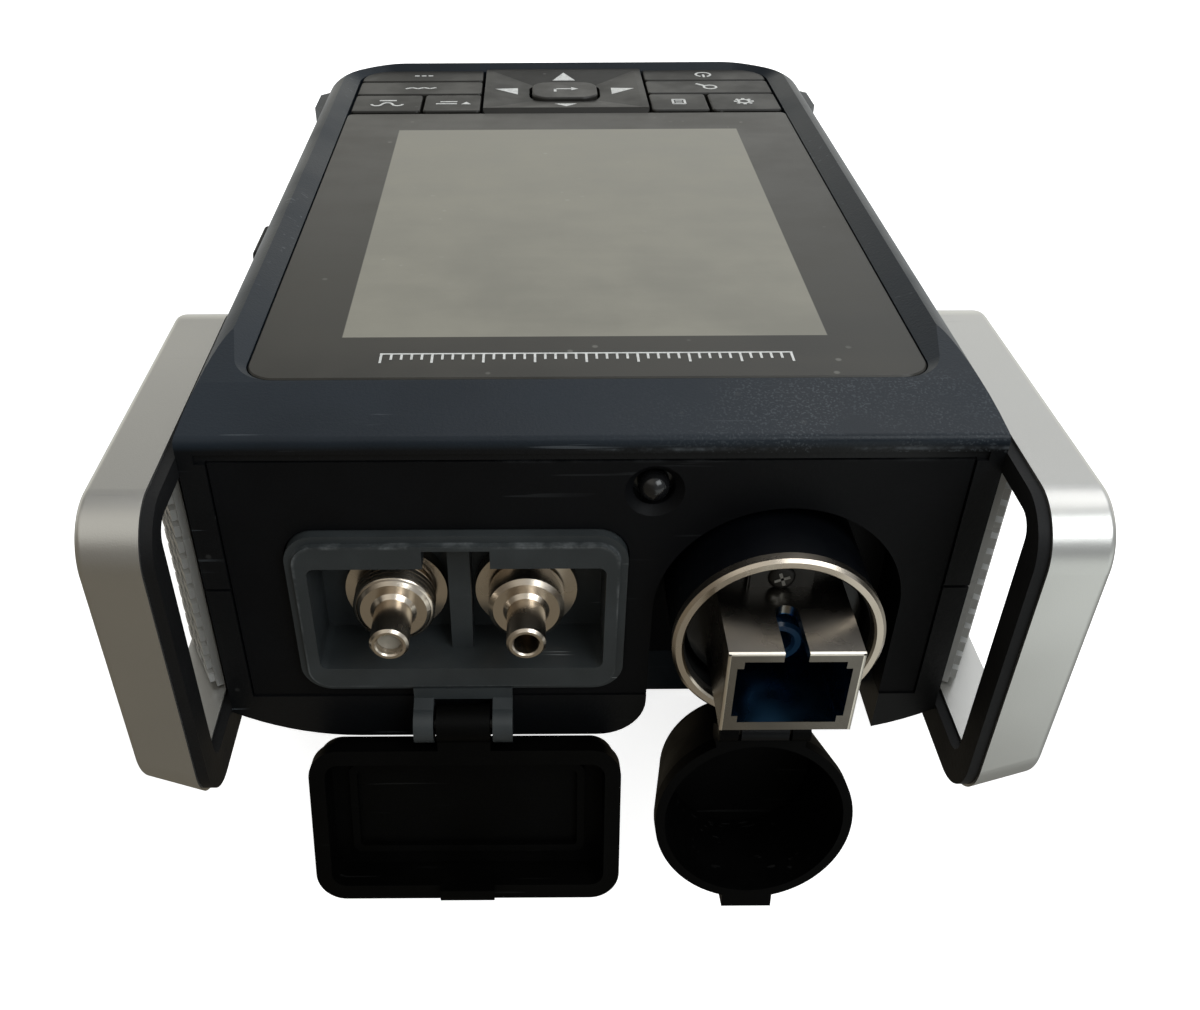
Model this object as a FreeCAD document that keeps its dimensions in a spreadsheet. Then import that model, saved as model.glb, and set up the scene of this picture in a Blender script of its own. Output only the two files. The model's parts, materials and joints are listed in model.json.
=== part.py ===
import FreeCAD, Part

import math
import os
import re

import Sketcher

# A hand-held optical time domain reflectometer with its two port covers hanging open.
# Millimetres. +Z is up, +Y runs from the port end to the keypad end, and the origin is
# the middle of the flat underside. Outside sizes are measured from the origin.

SIZES = {
    # case shell
    "case_wide": 75.0,
    "front_at": 57.0,
    "far_at": 58.4,
    "ridge_high": 40.2,
    "split_high": 20.6,
    "case_wall": 2.0,
    "floor_thick": 2.2,
    "floor_half": 30.0,
    "roof_thick": 1.2,
    "far_corner": 12.0,
    "far_inner_corner": 10.0,
    "top_round": 3.2,
    "crease_high": 37.7,
    "ramp_long": 9.0,
    "crown_flat": 24.0,
    "crown_rise": 3.6,
    "seam_groove": 0.3,
    "seat_gap": 0.15,
    "lip_step": 0.3,
    "lip_high": 0.8,
    # moulded strap lugs and the fairings behind the guards
    "lug_near": 39.0,
    "lug_long": 14.0,
    "lug_proud": 1.8,
    "lug_low": 29.0,
    "lug_tall": 8.0,
    "fairing_long": 6.0,
    "fairing_out": 1.5,
    # display window
    "glass_wide": 65.4,
    "glass_near": 48.2,
    "glass_far": 32.7,
    "glass_high": 39.0,
    "glass_thick": 1.0,
    "glass_corner": 3.0,
    "rim_flare": 2.4,
    "window_half": 24.9,
    "window_near": 40.4,
    "window_far": 25.6,
    "lcd_lap": 1.7,
    "lcd_thick": 3.2,
    # keypad
    "key_overhang": 0.1,
    "keypad_near": 33.3,
    "row_near_long": 8.1,
    "row_mid_long": 6.6,
    "row_far_long": 5.9,
    "key_gap": 0.45,
    "split_at": 21.8,
    "key_high": 39.2,
    "key_tall": 2.2,
    "key_travel": 0.4,
    "key_corner": 0.6,
    "key_outer_corner": 5.0,
    "key_edge": 0.3,
    "pad_half": 12.5,
    "pad_high": 39.4,
    "pad_tall": 1.75,
    "pad_dish": 0.8,
    "pad_rim": 0.9,
    "pad_slope": 0.8,
    "enter_wide": 10.2,
    "enter_long": 8.4,
    "enter_corner": 2.6,
    "enter_gap": 0.45,
    "rocker_band": 1.5,
    "rocker_thick": 0.45,
    "rocker_gap": 0.35,
    "mat_thick": 1.4,
    "mat_inset": 1.0,
    "mat_lap": 1.6,
    "board_thick": 1.6,
    # end panel
    "slot_half": 35.0,
    "slot_low": 5.9,
    "slot_high": 35.3,
    "panel_back": 0.2,
    "panel_thick": 2.0,
    "pocket_inset": 16.1,
    "pocket_high": 17.5,
    "pocket_round": 12.3,
    "pocket_deep": 6.9,
    "pocket_wall": 1.5,
    "foot_round": 5.0,
    "torch_mid": 6.0,
    "torch_high": 31.8,
    "torch_hole": 2.0,
    "torch_sink": 0.8,
    "led_round": 1.5,
    "led_long": 4.2,
    # port frame
    "port_mid": -12.65,
    "port_wide": 33.0,
    "port_low": 7.75,
    "port_tall": 19.7,
    "port_corner": 3.1,
    "port_proud": 1.35,
    "port_back": 50.0,
    "rim_step": 0.8,
    "rim_step_deep": 0.6,
    "well_wide": 28.8,
    "well_low": 11.1,
    "well_tall": 12.9,
    "well_deep": 6.8,
    "notch_wide": 6.5,
    "notch_tall": 2.1,
    "notch_deep": 4.2,
    "divider_thick": 2.2,
    "divider_back": 3.6,
    # ferrule adapters
    "adapter_high": 17.2,
    "adapter_pitch": 13.3,
    "ferrule_round": 1.25,
    "bore_deep": 8.0,
    "tip_round": 1.93,
    "tip_at": 61.65,
    "ring_round": 3.85,
    "ring_long": 3.35,
    "flange_round": 5.2,
    "flange_flat": 4.4,
    "flange_long": 1.65,
    "stub_round": 3.0,
    "stub_back": 47.5,
    "nut_round": 4.4,
    "nut_long": 2.0,
    "lens_deep": 0.9,
    "lens_thick": 1.0,
    # port lid
    "lid_axis_out": 59.6,
    "lid_axis_high": 4.45,
    "lid_open": 163.0,
    "lid_wide": 33.1,
    "lid_low": 2.8,
    "lid_tall": 18.5,
    "lid_deep": 5.6,
    "lid_round": 2.0,
    "lid_wall": 1.2,
    "lid_corner": 3.2,
    "lid_step": 0.5,
    "lid_band": 2.0,
    "lid_ridge_in": 2.0,
    "lid_ridge_wide": 0.8,
    "lid_ridge_tall": 0.9,
    "close_gap": 0.3,
    "hook_wide": 5.9,
    "hook_high": 19.5,
    "hook_tall": 1.2,
    "hook_reach": 0.9,
    "barrel_round": 2.0,
    "barrel_long": 5.55,
    "eye_round": 2.0,
    "lug_thick": 2.05,
    "lug_gap": 0.3,
    "lid_pin_round": 0.6,
    "run_gap": 0.05,
    "press_gap": 0.02,
    # SC port
    "collar_inset": 17.05,
    "sc_high": 18.7,
    "collar_round": 9.88,
    "collar_inner": 8.8,
    "collar_front": 62.2,
    "trim_round": 10.08,
    "trim_inner": 8.99,
    "trim_thick": 1.2,
    "plate_thick": 2.2,
    "sc_wide": 12.1,
    "sc_tall": 9.5,
    "sc_front": 69.9,
    "sc_mouth_wide": 9.1,
    "sc_mouth_tall": 7.5,
    "sc_side_wide": 10.3,
    "sc_side_tall": 5.9,
    "sc_deep": 12.9,
    "key_slot_wide": 2.2,
    "key_slot_long": 5.5,
    "ear_wide": 5.0,
    "ear_high": 2.5,
    "ear_thick": 1.3,
    "sc_screw_at": 6.1,
    "sc_screw_round": 0.8,
    "sc_head_round": 1.15,
    "sc_head_thick": 0.7,
    "sleeve_round": 2.4,
    "sleeve_long": 6.2,
    # round cap
    "cap_axis_out": 63.1,
    "cap_axis_high": 6.8,
    "cap_open": 168.0,
    "cap_rim_round": 10.45,
    "cap_end_round": 9.0,
    "cap_deep": 11.3,
    "cap_wall": 1.0,
    "cap_edge": 1.3,
    "cap_knuckle": 1.1,
    "cap_knuckle_half": 2.4,
    "cap_ear_wide": 1.9,
    "cap_pin_round": 0.45,
    "cap_tab_wide": 5.4,
    "cap_tab_high": 1.2,
    "cap_tab_long": 2.6,
    # side guards
    "liner_thick": 1.1,
    "liner_inset": 0.3,
    "guard_thick": 5.6,
    "guard_front": 68.0,
    "guard_back": 24.2,
    "guard_low": 0.2,
    "guard_slant": 2.5,
    "guard_high": 36.2,
    "guard_front_leg": 3.7,
    "guard_top_leg": 2.7,
    "guard_low_leg": 4.4,
    "guard_corner": 5.6,
    "guard_tail": 5.0,
    "guard_edge": 0.7,
    "loop_corner": 2.0,
    "loop_wall_in": 56.6,
    "loop_wall_out": 43.5,
    "grip_thick": 0.7,
    "grip_inset": 0.6,
    "grip_outer_inset": 2.0,
    "stud_wide": 2.4,
    "stud_tall": 1.25,
    "stud_proud": 0.6,
    "stud_pitch": 1.95,
    "stud_step": 3.2,
    "stud_rows": 14,
    "stud_columns": 3,
    "guard_screw_at": 35.0,
    "guard_screw_low": 12.0,
    "guard_screw_high": 28.5,
    # screws
    "screw_round": 1.0,
    "screw_head": 1.9,
    "screw_head_thick": 1.1,
    "screw_bite": 3.4,
    "post_inset": 6.1,
    "post_near": 43.5,
    "post_far": 27.0,
    "post_round": 3.4,
    "case_screw_sink": 3.0,
    # inside
    "main_board_high": 21.4,
    "board_inset": 4.0,
    "main_board_near": 46.5,
    "main_board_far": 53.0,
    "module_gap": 0.3,
    "module_back_off": 1.3,
    "optics_low": 3.0,
    "optics_high": 27.0,
    "optics_back": 12.0,
    "meter_low": -27.0,
    "meter_high": 1.0,
    "meter_back": 22.0,
    "module_top": 17.5,
    # battery bay
    "battery_round": 9.2,
    "battery_near": -8.0,
    "battery_long": 50.0,
    "bay_gap": 0.8,
    "cover_lap": 4.8,
    "cover_thick": 1.6,
    "cover_screw_in": 2.4,
    # charging port and its flap, in the left wall
    "flap_near": -11.5,
    "flap_long": 9.0,
    "flap_tall": 8.0,
    "flap_top": 35.2,
    "flap_thick": 1.6,
    "flap_edge": 0.5,
    "flap_gap": 0.12,
    "plug_long": 6.6,
    "plug_tall": 2.2,
    "plug_deep": 1.1,
    "plug_mid": 30.4,
    "socket_wide": 8.4,
    "socket_tall": 3.4,
    "socket_deep": 7.0,
    "socket_wall": 0.4,
}

# places that follow from the sizes above
PLACES = {
    "keypad_half": "(glass_wide / 2 + key_overhang)",
    "pocket_mid": "(slot_half - pocket_inset)",
    "sc_mid": "(slot_half - collar_inset)",
    "post_mid": "(case_wide / 2 - post_inset)",
    "main_board_half": "(case_wide / 2 - board_inset)",
    "threaded_mid": "(port_mid - adapter_pitch / 2)",
    "plain_mid": "(port_mid + adapter_pitch / 2)",
}

doc = FreeCAD.newDocument("reflectometer")
sheet = doc.addObject("Spreadsheet::Sheet", "sheet")
for row, (name, size) in enumerate(SIZES.items(), 1):
    sheet.set(f"A{row}", name)
    sheet.set(f"B{row}", str(size))
    sheet.setAlias(f"B{row}", name)
doc.recompute()

nodes = []
MATHS = {"sin", "cos", "tan", "atan", "sqrt", "min", "max"}
PLANES = {"XY": ("XY_Plane", 1), "XZ": ("XZ_Plane", -1), "YZ": ("YZ_Plane", 1)}
AXES = {"X": FreeCAD.Vector(1, 0, 0), "Y": FreeCAD.Vector(0, 1, 0), "Z": FreeCAD.Vector(0, 0, 1)}
TOLERANCE = 0.01


# ---------------------------------------------------------------- sheet and sketches

def ref(text):
    """The expression with every size name pointing at its cell of the sheet."""
    def point(match):
        word = match.group(0)
        if word in PLACES:
            return ref(PLACES[word])
        return word if word in MATHS else "sheet." + word
    return re.sub(r"[a-z][a-z_]*", point, str(text))


def number(text):
    """The value of an expression at the sheet's present sizes."""
    return float(sheet.evalExpression(ref(text)))


def dimension(sketch, kind, *where_and_size):
    """One driving dimension, bound to the sheet."""
    *where, size = where_and_size
    index = sketch.addConstraint(Sketcher.Constraint(kind, *where, number(size)))
    sketch.setExpression(f"Constraints[{index}]", ref(size))


def arc_piece(start, end, radius):
    """The short arc from start to end: anticlockwise for a plus radius, clockwise for a minus."""
    chord = end.sub(start)
    across = FreeCAD.Vector(-chord.y, chord.x, 0).normalize()
    reach = math.sqrt(max(radius ** 2 - (chord.Length / 2) ** 2, 0))
    side = 1 if radius > 0 else -1
    centre = (start + end) * 0.5 + across * (reach * side)
    first, last = (start, end) if radius > 0 else (end, start)
    circle = Part.Circle(centre, AXES["Z"], abs(radius))
    begin = math.atan2(first.y - centre.y, first.x - centre.x)
    finish = math.atan2(last.y - centre.y, last.x - centre.x)
    return Part.ArcOfCircle(circle, begin, finish)


def path(points):
    """A closed loop. A point is (x, y), or (x, y, radius) where an arc leads to the next."""
    def draw(sketch):
        count = len(points)
        base = sketch.GeometryCount
        spots = [FreeCAD.Vector(number(p[0]), number(p[1]), 0) for p in points]
        heads = []
        for i, point in enumerate(points):
            start, end = spots[i], spots[(i + 1) % count]
            if len(point) == 2:
                sketch.addGeometry(Part.LineSegment(start, end), False)
                heads.append((1, 2))
                continue
            radius = number(point[2])
            sketch.addGeometry(arc_piece(start, end, radius), False)
            heads.append((1, 2) if radius > 0 else (2, 1))
        for i, point in enumerate(points):
            after = (i + 1) % count
            sketch.addConstraint(Sketcher.Constraint(
                "Coincident", base + i, heads[i][1], base + after, heads[after][0]))
            dimension(sketch, "DistanceX", -1, 1, base + i, heads[i][0], point[0])
            dimension(sketch, "DistanceY", -1, 1, base + i, heads[i][0], point[1])
            if len(point) > 2:
                dimension(sketch, "Radius", base + i, str(point[2]).lstrip("-"))
    return draw


def rectangle(left, right, low, high):
    return path([(left, low), (right, low), (right, high), (left, high)])


def rounded(left, right, low, high, corner, top_corner=None):
    """A rectangle with rounded corners; the upper two may have their own radius."""
    top = f"({top_corner or corner})"
    corner = f"({corner})"
    return path([
        (f"{left} + {corner}", low), (f"{right} - {corner}", low, corner),
        (right, f"{low} + {corner}"), (right, f"{high} - {top}", top),
        (f"{right} - {top}", high), (f"{left} + {top}", high, top),
        (left, f"{high} - {top}"), (left, f"{low} + {corner}", corner)])


def circle(x, y, radius):
    def draw(sketch):
        base = sketch.GeometryCount
        centre = FreeCAD.Vector(number(x), number(y), 0)
        sketch.addGeometry(Part.Circle(centre, AXES["Z"], number(radius)), False)
        dimension(sketch, "DistanceX", -1, 1, base, 3, x)
        dimension(sketch, "DistanceY", -1, 1, base, 3, y)
        dimension(sketch, "Radius", base, radius)
    return draw


# ---------------------------------------------------------------- bodies and features

def new_body(label):
    body = doc.addObject("PartDesign::Body", label)
    body.Label = label
    return body


def new_sketch(body, plane, at, loops):
    """A sketch on one of the body's own origin planes, moved to a place along its axis."""
    role, sign = PLANES[plane]
    sketch = body.newObject("Sketcher::SketchObject", f"{body.Name}_sketch")
    support = next(f for f in body.Origin.OriginFeatures if f.Role == role)
    sketch.AttachmentSupport = [(support, "")]
    sketch.MapMode = "FlatFace"
    sketch.setExpression("AttachmentOffset.Base.z", ref(f"{sign} * ({at})"))
    for loop in loops:
        loop(sketch)
    return sketch


def pad(body, plane, at, length, *loops):
    """Material from the plane towards the plus side of its axis."""
    sketch = new_sketch(body, plane, at, loops)
    feature = body.newObject("PartDesign::Pad", f"{body.Name}_pad")
    feature.Profile = sketch
    feature.setExpression("Length", ref(length))
    feature.Reversed = plane == "XZ"
    doc.recompute()
    return feature


def pocket(body, plane, at, length, *loops):
    """A cut from the plane towards the plus side of its axis."""
    before = body.Shape.Volume
    sketch = new_sketch(body, plane, at, loops)
    feature = body.newObject("PartDesign::Pocket", f"{body.Name}_pocket")
    feature.Profile = sketch
    feature.setExpression("Length", ref(length))
    feature.Reversed = plane != "XZ"
    doc.recompute()
    if body.Shape.Volume > before - TOLERANCE:
        raise RuntimeError(f"a pocket of {body.Label} cuts nothing")
    return feature


def turn(body, plane, points, axis="V_Axis"):
    """A solid of revolution about an axis of its sketch."""
    sketch = new_sketch(body, plane, "0", [path(points)])
    feature = body.newObject("PartDesign::Revolution", f"{body.Name}_turn")
    feature.Profile = sketch
    feature.ReferenceAxis = (sketch, [axis])
    feature.Angle = 360
    doc.recompute()
    return feature


def edges_where(shape, test):
    return [f"Edge{i}" for i, edge in enumerate(shape.Edges, 1) if test(edge)]


def dress(body, kind, size, test):
    """A fillet or chamfer on the edges that pass the test."""
    tip = body.Tip
    names = edges_where(tip.Shape, test)
    feature = body.newObject(f"PartDesign::{kind}", f"{body.Name}_{kind.lower()}")
    feature.Base = (tip, names)
    feature.setExpression("Radius" if kind == "Fillet" else "Size", ref(size))
    doc.recompute()
    return feature


def near(value, text):
    return abs(value - number(text)) < TOLERANCE


def box_size(edge):
    return edge.BoundBox


def place(item, x, y, z, axis="X", angle="0"):
    """Put a piece at (x, y, z), turned about one axis, both bound to the sheet."""
    rotation = FreeCAD.Rotation(AXES[axis], number(angle) or 1)
    item.Placement = FreeCAD.Placement(FreeCAD.Vector(), rotation)
    for part, size in zip("xyz", (x, y, z)):
        item.setExpression(f"Placement.Base.{part}", ref(size))
    item.setExpression("Placement.Rotation.Angle", ref(angle))


def box(label, x, y, z, wide, long, tall):
    item = doc.addObject("Part::Box", label)
    for prop, size in (("Length", wide), ("Width", long), ("Height", tall)):
        item.setExpression(prop, ref(size))
    for part, size in zip("xyz", (x, y, z)):
        item.setExpression(f"Placement.Base.{part}", ref(size))
    return item


def rod(label, x, y, z, radius, length, along="Z"):
    """A cylinder from (x, y, z) along plus X, minus Y or plus Z."""
    item = doc.addObject("Part::Cylinder", label)
    item.setExpression("Radius", ref(radius))
    item.setExpression("Height", ref(length))
    axis, angle = {"X": ("Y", 90), "-Y": ("X", 90), "Z": ("Z", 0)}[along]
    item.Placement = FreeCAD.Placement(FreeCAD.Vector(), FreeCAD.Rotation(AXES[axis], angle))
    for part, size in zip("xyz", (x, y, z)):
        item.setExpression(f"Placement.Base.{part}", ref(size))
    return item


def fuse(label, *items):
    whole = doc.addObject("Part::MultiFuse", label)
    whole.Shapes = list(items)
    whole.Refine = True
    return whole


def cut(label, base, *tools):
    tool = tools[0] if len(tools) == 1 else fuse(f"{label}_tools", *tools)
    whole = doc.addObject("Part::Cut", label)
    whole.Base = base
    whole.Tool = tool
    return whole


def group(label, items):
    """Separate solids of one kind, kept together as one node."""
    whole = doc.addObject("Part::Compound", label)
    whole.Links = items
    return whole


def mirrored(label, source):
    whole = doc.addObject("Part::Mirroring", label)
    whole.Source = source
    whole.Base = FreeCAD.Vector()
    whole.Normal = AXES["X"]
    return whole


def keep(item, label=None):
    """List a finished sub-part under its node name."""
    item.Label = label or item.Label
    nodes.append(item)
    return item


def screw(label, length, x, y, z, axis="X", angle="0"):
    """A pan-head screw: the head stands on z = 0 of its own frame and the shank points to -z."""
    body = new_body(label)
    turn(body, "XZ", [
        ("0", f"-({length})"), ("screw_round", f"-({length})"), ("screw_round", "0"),
        ("screw_head", "0"), ("screw_head", "screw_head_thick * 0.6"),
        ("screw_head * 0.7", "screw_head_thick"), ("0", "screw_head_thick")])
    place(body, x, y, z, axis, angle)
    return body


# ---------------------------------------------------------------- shared places

FRONT = "-front_at"
HALF = "case_wide / 2"
RECESS_FLOOR = "(glass_high - glass_thick)"
ROOF_UNDER = f"({RECESS_FLOOR} - roof_thick)"
KEYPAD_FAR = "(keypad_near + row_near_long + row_mid_long + row_far_long + 2 * key_gap)"
PANEL_FRONT = "(-front_at + panel_back)"
PANEL_REAR = f"({PANEL_FRONT} + panel_thick)"
POCKET_REAR = "(-front_at + pocket_deep)"
SILL_REAR = f"({POCKET_REAR} + pocket_wall)"
MAT_TOP = "(key_high - key_tall - key_travel - 0.1)"
MAT_LOW = f"({MAT_TOP} - mat_thick)"
POSTS = [(side, y) for side in (-1, 1) for y in ("-post_near", "post_far")]
LID_RIM = "(lid_axis_out - front_at - port_proud - close_gap)"
CROWN = "(((case_wide / 2 - crown_flat) ^ 2 + crown_rise ^ 2) / (2 * crown_rise))"


def case_outline(inset, corner):
    """The case in plan, square at the port end and rounded at the keypad end."""
    wide = f"({HALF} - {inset})"
    near_y = f"(-front_at + {inset})"
    far_y = f"(far_at - {inset})"
    return path([
        (f"-{wide}", near_y), (wide, near_y), (wide, f"{far_y} - {corner}", corner),
        (f"{wide} - {corner}", far_y), (f"-{wide} + {corner}", far_y, corner),
        (f"-{wide}", f"{far_y} - {corner}")])


def cavity_outline():
    """The inside of the case in plan, behind the front sill."""
    wide = f"({HALF} - case_wall)"
    far_y = "(far_at - case_wall)"
    corner = "far_inner_corner"
    return path([
        (f"-{wide}", SILL_REAR), (wide, SILL_REAR), (wide, f"{far_y} - {corner}", corner),
        (f"{wide} - {corner}", far_y), (f"-{wide} + {corner}", far_y, corner),
        (f"-{wide}", f"{far_y} - {corner}")])


def pocket_loop(grow, low):
    """The round-topped pocket round the SC port, open at the bottom."""
    half = f"(pocket_round + {grow})"
    return path([
        (f"pocket_mid - {half}", low), (f"pocket_mid + {half}", low),
        (f"pocket_mid + {half}", "pocket_high", half), ("pocket_mid", f"pocket_high + {half}", half),
        (f"pocket_mid - {half}", "pocket_high")])


def fairing(side):
    """The flare of the case side that meets the tail of a guard."""
    wall = f"{side} * ({HALF} - case_wall / 2)"
    out = f"{side} * ({HALF} + fairing_out)"
    back = "(-guard_back + seat_gap)"
    return path([(wall, back), (out, back), (f"{side} * {HALF}", f"{back} + fairing_long"),
                 (wall, f"{back} + fairing_long")])


def strap_lug(side):
    """A long low pad moulded on the case side for a hand strap."""
    wall = f"{side} * ({HALF} - case_wall / 2)"
    out = f"{side} * ({HALF} + lug_proud)"
    face = f"{side} * {HALF}"
    return path([
        (wall, "lug_near"), (face, "lug_near"), (out, "lug_near + 2 * lug_proud"),
        (out, "lug_near + lug_long - 2 * lug_proud"),
        (f"{side} * ({HALF} - lug_proud)", "lug_near + lug_long"),
        (f"{side} * ({HALF} - 3 * lug_proud)", "lug_near + lug_long"),
        (wall, "lug_near + lug_long - 3 * lug_proud")])


def guard_screw_loops():
    return [circle("-guard_screw_at", z, "screw_round + seat_gap")
            for z in ("guard_screw_low", "guard_screw_high")]


# ---------------------------------------------------------------- case

def build_upper_case():
    body = new_body("upper_case")
    pad(body, "XY", "split_high", "ridge_high - split_high", case_outline("0", "far_corner"))
    dress(body, "Fillet", "top_round", lambda e: near(box_size(e).ZMin, "ridge_high")
          and box_size(e).YMax > number(FRONT) + 1)
    slope_end = "(-(glass_near + 0.8))"
    ramp_end = "(-(glass_near - ramp_long))"
    fall = f"((glass_high + 0.1 - crease_high) / ({slope_end} + front_at))"
    pocket(body, "YZ", f"-{HALF} - 1", "case_wide + 2", path([
        ("-front_at - 1", f"crease_high - {fall}"), (slope_end, "glass_high + 0.1"),
        (ramp_end, "ridge_high"), (ramp_end, "ridge_high + 2"), ("-front_at - 1", "ridge_high + 2")]))
    dress(body, "Fillet", "0.8", lambda e: near(box_size(e).ZMin, "crease_high")
          and near(box_size(e).ZMax, "crease_high"))
    for side in (-1, 1):
        pad(body, "XY", "lug_low", "lug_tall", strap_lug(side))
        pad(body, "XY", "split_high", "guard_high - split_high - 1", fairing(side))
    pocket(body, "XY", "split_high - 1", f"{ROOF_UNDER} - split_high + 1", cavity_outline())
    # the recess that holds the glass and the keys, with its flared rim
    half = "(glass_wide / 2 + seat_gap)"
    recess_near = "(-(glass_near + seat_gap))"
    recess_far = f"({KEYPAD_FAR} + key_gap)"
    pocket(body, "XY", RECESS_FLOOR, "glass_thick + 4", rounded(
        f"-{half}", half, recess_near, recess_far, "glass_corner + seat_gap", "key_outer_corner"))
    lower = new_sketch(body, "XY", "glass_high - 0.1", [rounded(
        f"-{half}", half, recess_near, recess_far, "glass_corner + seat_gap", "key_outer_corner")])
    grow = "rim_flare"
    upper = new_sketch(body, "XY", "ridge_high + 0.1", [rounded(
        f"-{half} - {grow}", f"{half} + {grow}", f"{recess_near} - {grow}",
        f"{recess_far} + {grow} * 0.4", f"glass_corner + {grow}", f"key_outer_corner + {grow}")])
    flare = body.newObject("PartDesign::SubtractiveLoft", "rim_flare_cut")
    flare.Profile = lower
    flare.Sections = [upper]
    flare.Ruled = True
    doc.recompute()
    pocket(body, "XY", f"{ROOF_UNDER} - 1", "roof_thick + 2",
           rectangle("-window_half", "window_half", "-window_near", "window_far"))
    pocket(body, "XY", f"{ROOF_UNDER} - 1", "roof_thick + 2", rounded(
        "-keypad_half", "keypad_half", "keypad_near - key_gap", recess_far, "key_corner",
        "key_outer_corner"))
    # the slot for the end panel, and the step in the lip above it
    pocket(body, "XZ", f"{FRONT} - 1", f"{SILL_REAR} - ({FRONT}) + 1",
           rectangle("-slot_half", "slot_half", "split_high - 1", "slot_high"))
    pocket(body, "XZ", f"{FRONT} - 1", "1 + lip_step",
           rectangle("-slot_half - 1", "slot_half + 1", "slot_high - 0.2", "slot_high + lip_high"))
    # charging port and guard screws
    pocket(body, "YZ", f"-{HALF} - 1", "case_wall + 2", rounded(
        "flap_near + flap_long / 2 - socket_wide / 2", "flap_near + flap_long / 2 + socket_wide / 2",
        "plug_mid - socket_tall / 2", "plug_mid + socket_tall / 2", "1.2"))
    pocket(body, "YZ", f"-{HALF} - 1", "case_wide + 2",
           circle("-guard_screw_at", "guard_screw_high", "screw_round + seat_gap"))
    # bosses for the case screws
    board_top = "(main_board_high + board_thick)"
    for side, y in POSTS:
        pad(body, "XY", board_top, f"{ROOF_UNDER} - {board_top} + roof_thick / 2",
            circle(f"{side} * post_mid", y, "post_round"))
        pocket(body, "XY", f"{board_top} - 0.5", "screw_bite + 1.5",
               circle(f"{side} * post_mid", y, "screw_round + press_gap"))
    return keep(body)


def build_lower_case():
    body = new_body("lower_case")
    pad(body, "XY", "0", "split_high", case_outline("0", "far_corner"))
    for side in (-1, 1):
        radius = CROWN if side > 0 else f"-{CROWN}"
        pocket(body, "XZ", "-front_at - 1", "front_at + far_at + 2", path([
            (f"{side} * crown_flat", "0", radius), (f"{side} * {HALF}", "crown_rise"),
            (f"{side} * ({HALF} + 2)", "crown_rise"), (f"{side} * ({HALF} + 2)", "-2"),
            (f"{side} * crown_flat", "-2")]))
    for side in (-1, 1):
        pad(body, "XY", "guard_low + 1", "split_high - guard_low - 1", fairing(side))
    pocket(body, "XY", "crown_rise + case_wall", "split_high", cavity_outline())
    pocket(body, "XY", "floor_thick", "split_high", rectangle(
        "-floor_half", "floor_half", SILL_REAR, "far_at - case_wall - far_inner_corner"))
    pocket(body, "XZ", f"{FRONT} - 1", f"{SILL_REAR} - ({FRONT}) + 2",
           rectangle("-slot_half", "slot_half", "slot_low", "split_high + 1"))
    pocket(body, "XZ", f"{FRONT} - 1", "pocket_deep + 1", pocket_loop("0", "-1"))
    foot = "(pocket_mid - pocket_round)"
    dress(body, "Fillet", "foot_round", lambda e: near(box_size(e).XMin, foot)
          and near(box_size(e).XMax, foot) and near(box_size(e).ZMax, "0")
          and box_size(e).YLength > number("pocket_deep") - 1)
    # the seam shows as a fine groove
    groove = new_sketch(body, "XY", "split_high - seam_groove", [
        case_outline("-1", "far_corner + 1"), case_outline("seam_groove", "far_corner - seam_groove")])
    seam = body.newObject("PartDesign::Pocket", "lower_case_seam")
    seam.Profile = groove
    seam.setExpression("Length", ref("seam_groove + 1"))
    seam.Reversed = True
    doc.recompute()
    # battery bay and the recess of its cover
    bay = "(2 * battery_round + bay_gap)"
    near_y = "(battery_near - bay_gap)"
    far_y = "(battery_near + battery_long + bay_gap)"
    pocket(body, "XY", "-1", "floor_thick + 3", rectangle(f"-{bay}", bay, near_y, far_y))
    lap = "(cover_lap + seat_gap)"
    pocket(body, "XY", "-1", "cover_thick + 1", rounded(
        f"-{bay} - {lap}", f"{bay} + {lap}", f"{near_y} - {lap}", f"{far_y} + {lap}", "1.5"))
    # posts that carry the board and take the case screws
    for side, y in POSTS:
        x = f"{side} * post_mid"
        pad(body, "XY", "floor_thick - 0.5", "main_board_high - floor_thick + 0.5",
            circle(x, y, "post_round"))
        pocket(body, "XY", "-1", "main_board_high + 2", circle(x, y, "screw_round + seat_gap"))
        pocket(body, "XY", "-1", "case_screw_sink + 1", circle(x, y, "screw_head + seat_gap"))
    for side in (-1, 1):
        # pads inside the bay's ends take the cover screws
        x = f"{side} * ({bay} + cover_screw_in)"
        pad(body, "XY", "cover_thick", "screw_bite + 0.6", circle(x, f"{near_y} + 6", "post_round"))
        pocket(body, "XY", "-1", "screw_bite + cover_thick + 1.1",
               circle(x, f"{near_y} + 6", "screw_round + press_gap"))
    pocket(body, "YZ", f"-{HALF} - 1", "case_wide + 2",
           circle("-guard_screw_at", "guard_screw_low", "screw_round + seat_gap"))
    return keep(body)


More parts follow.
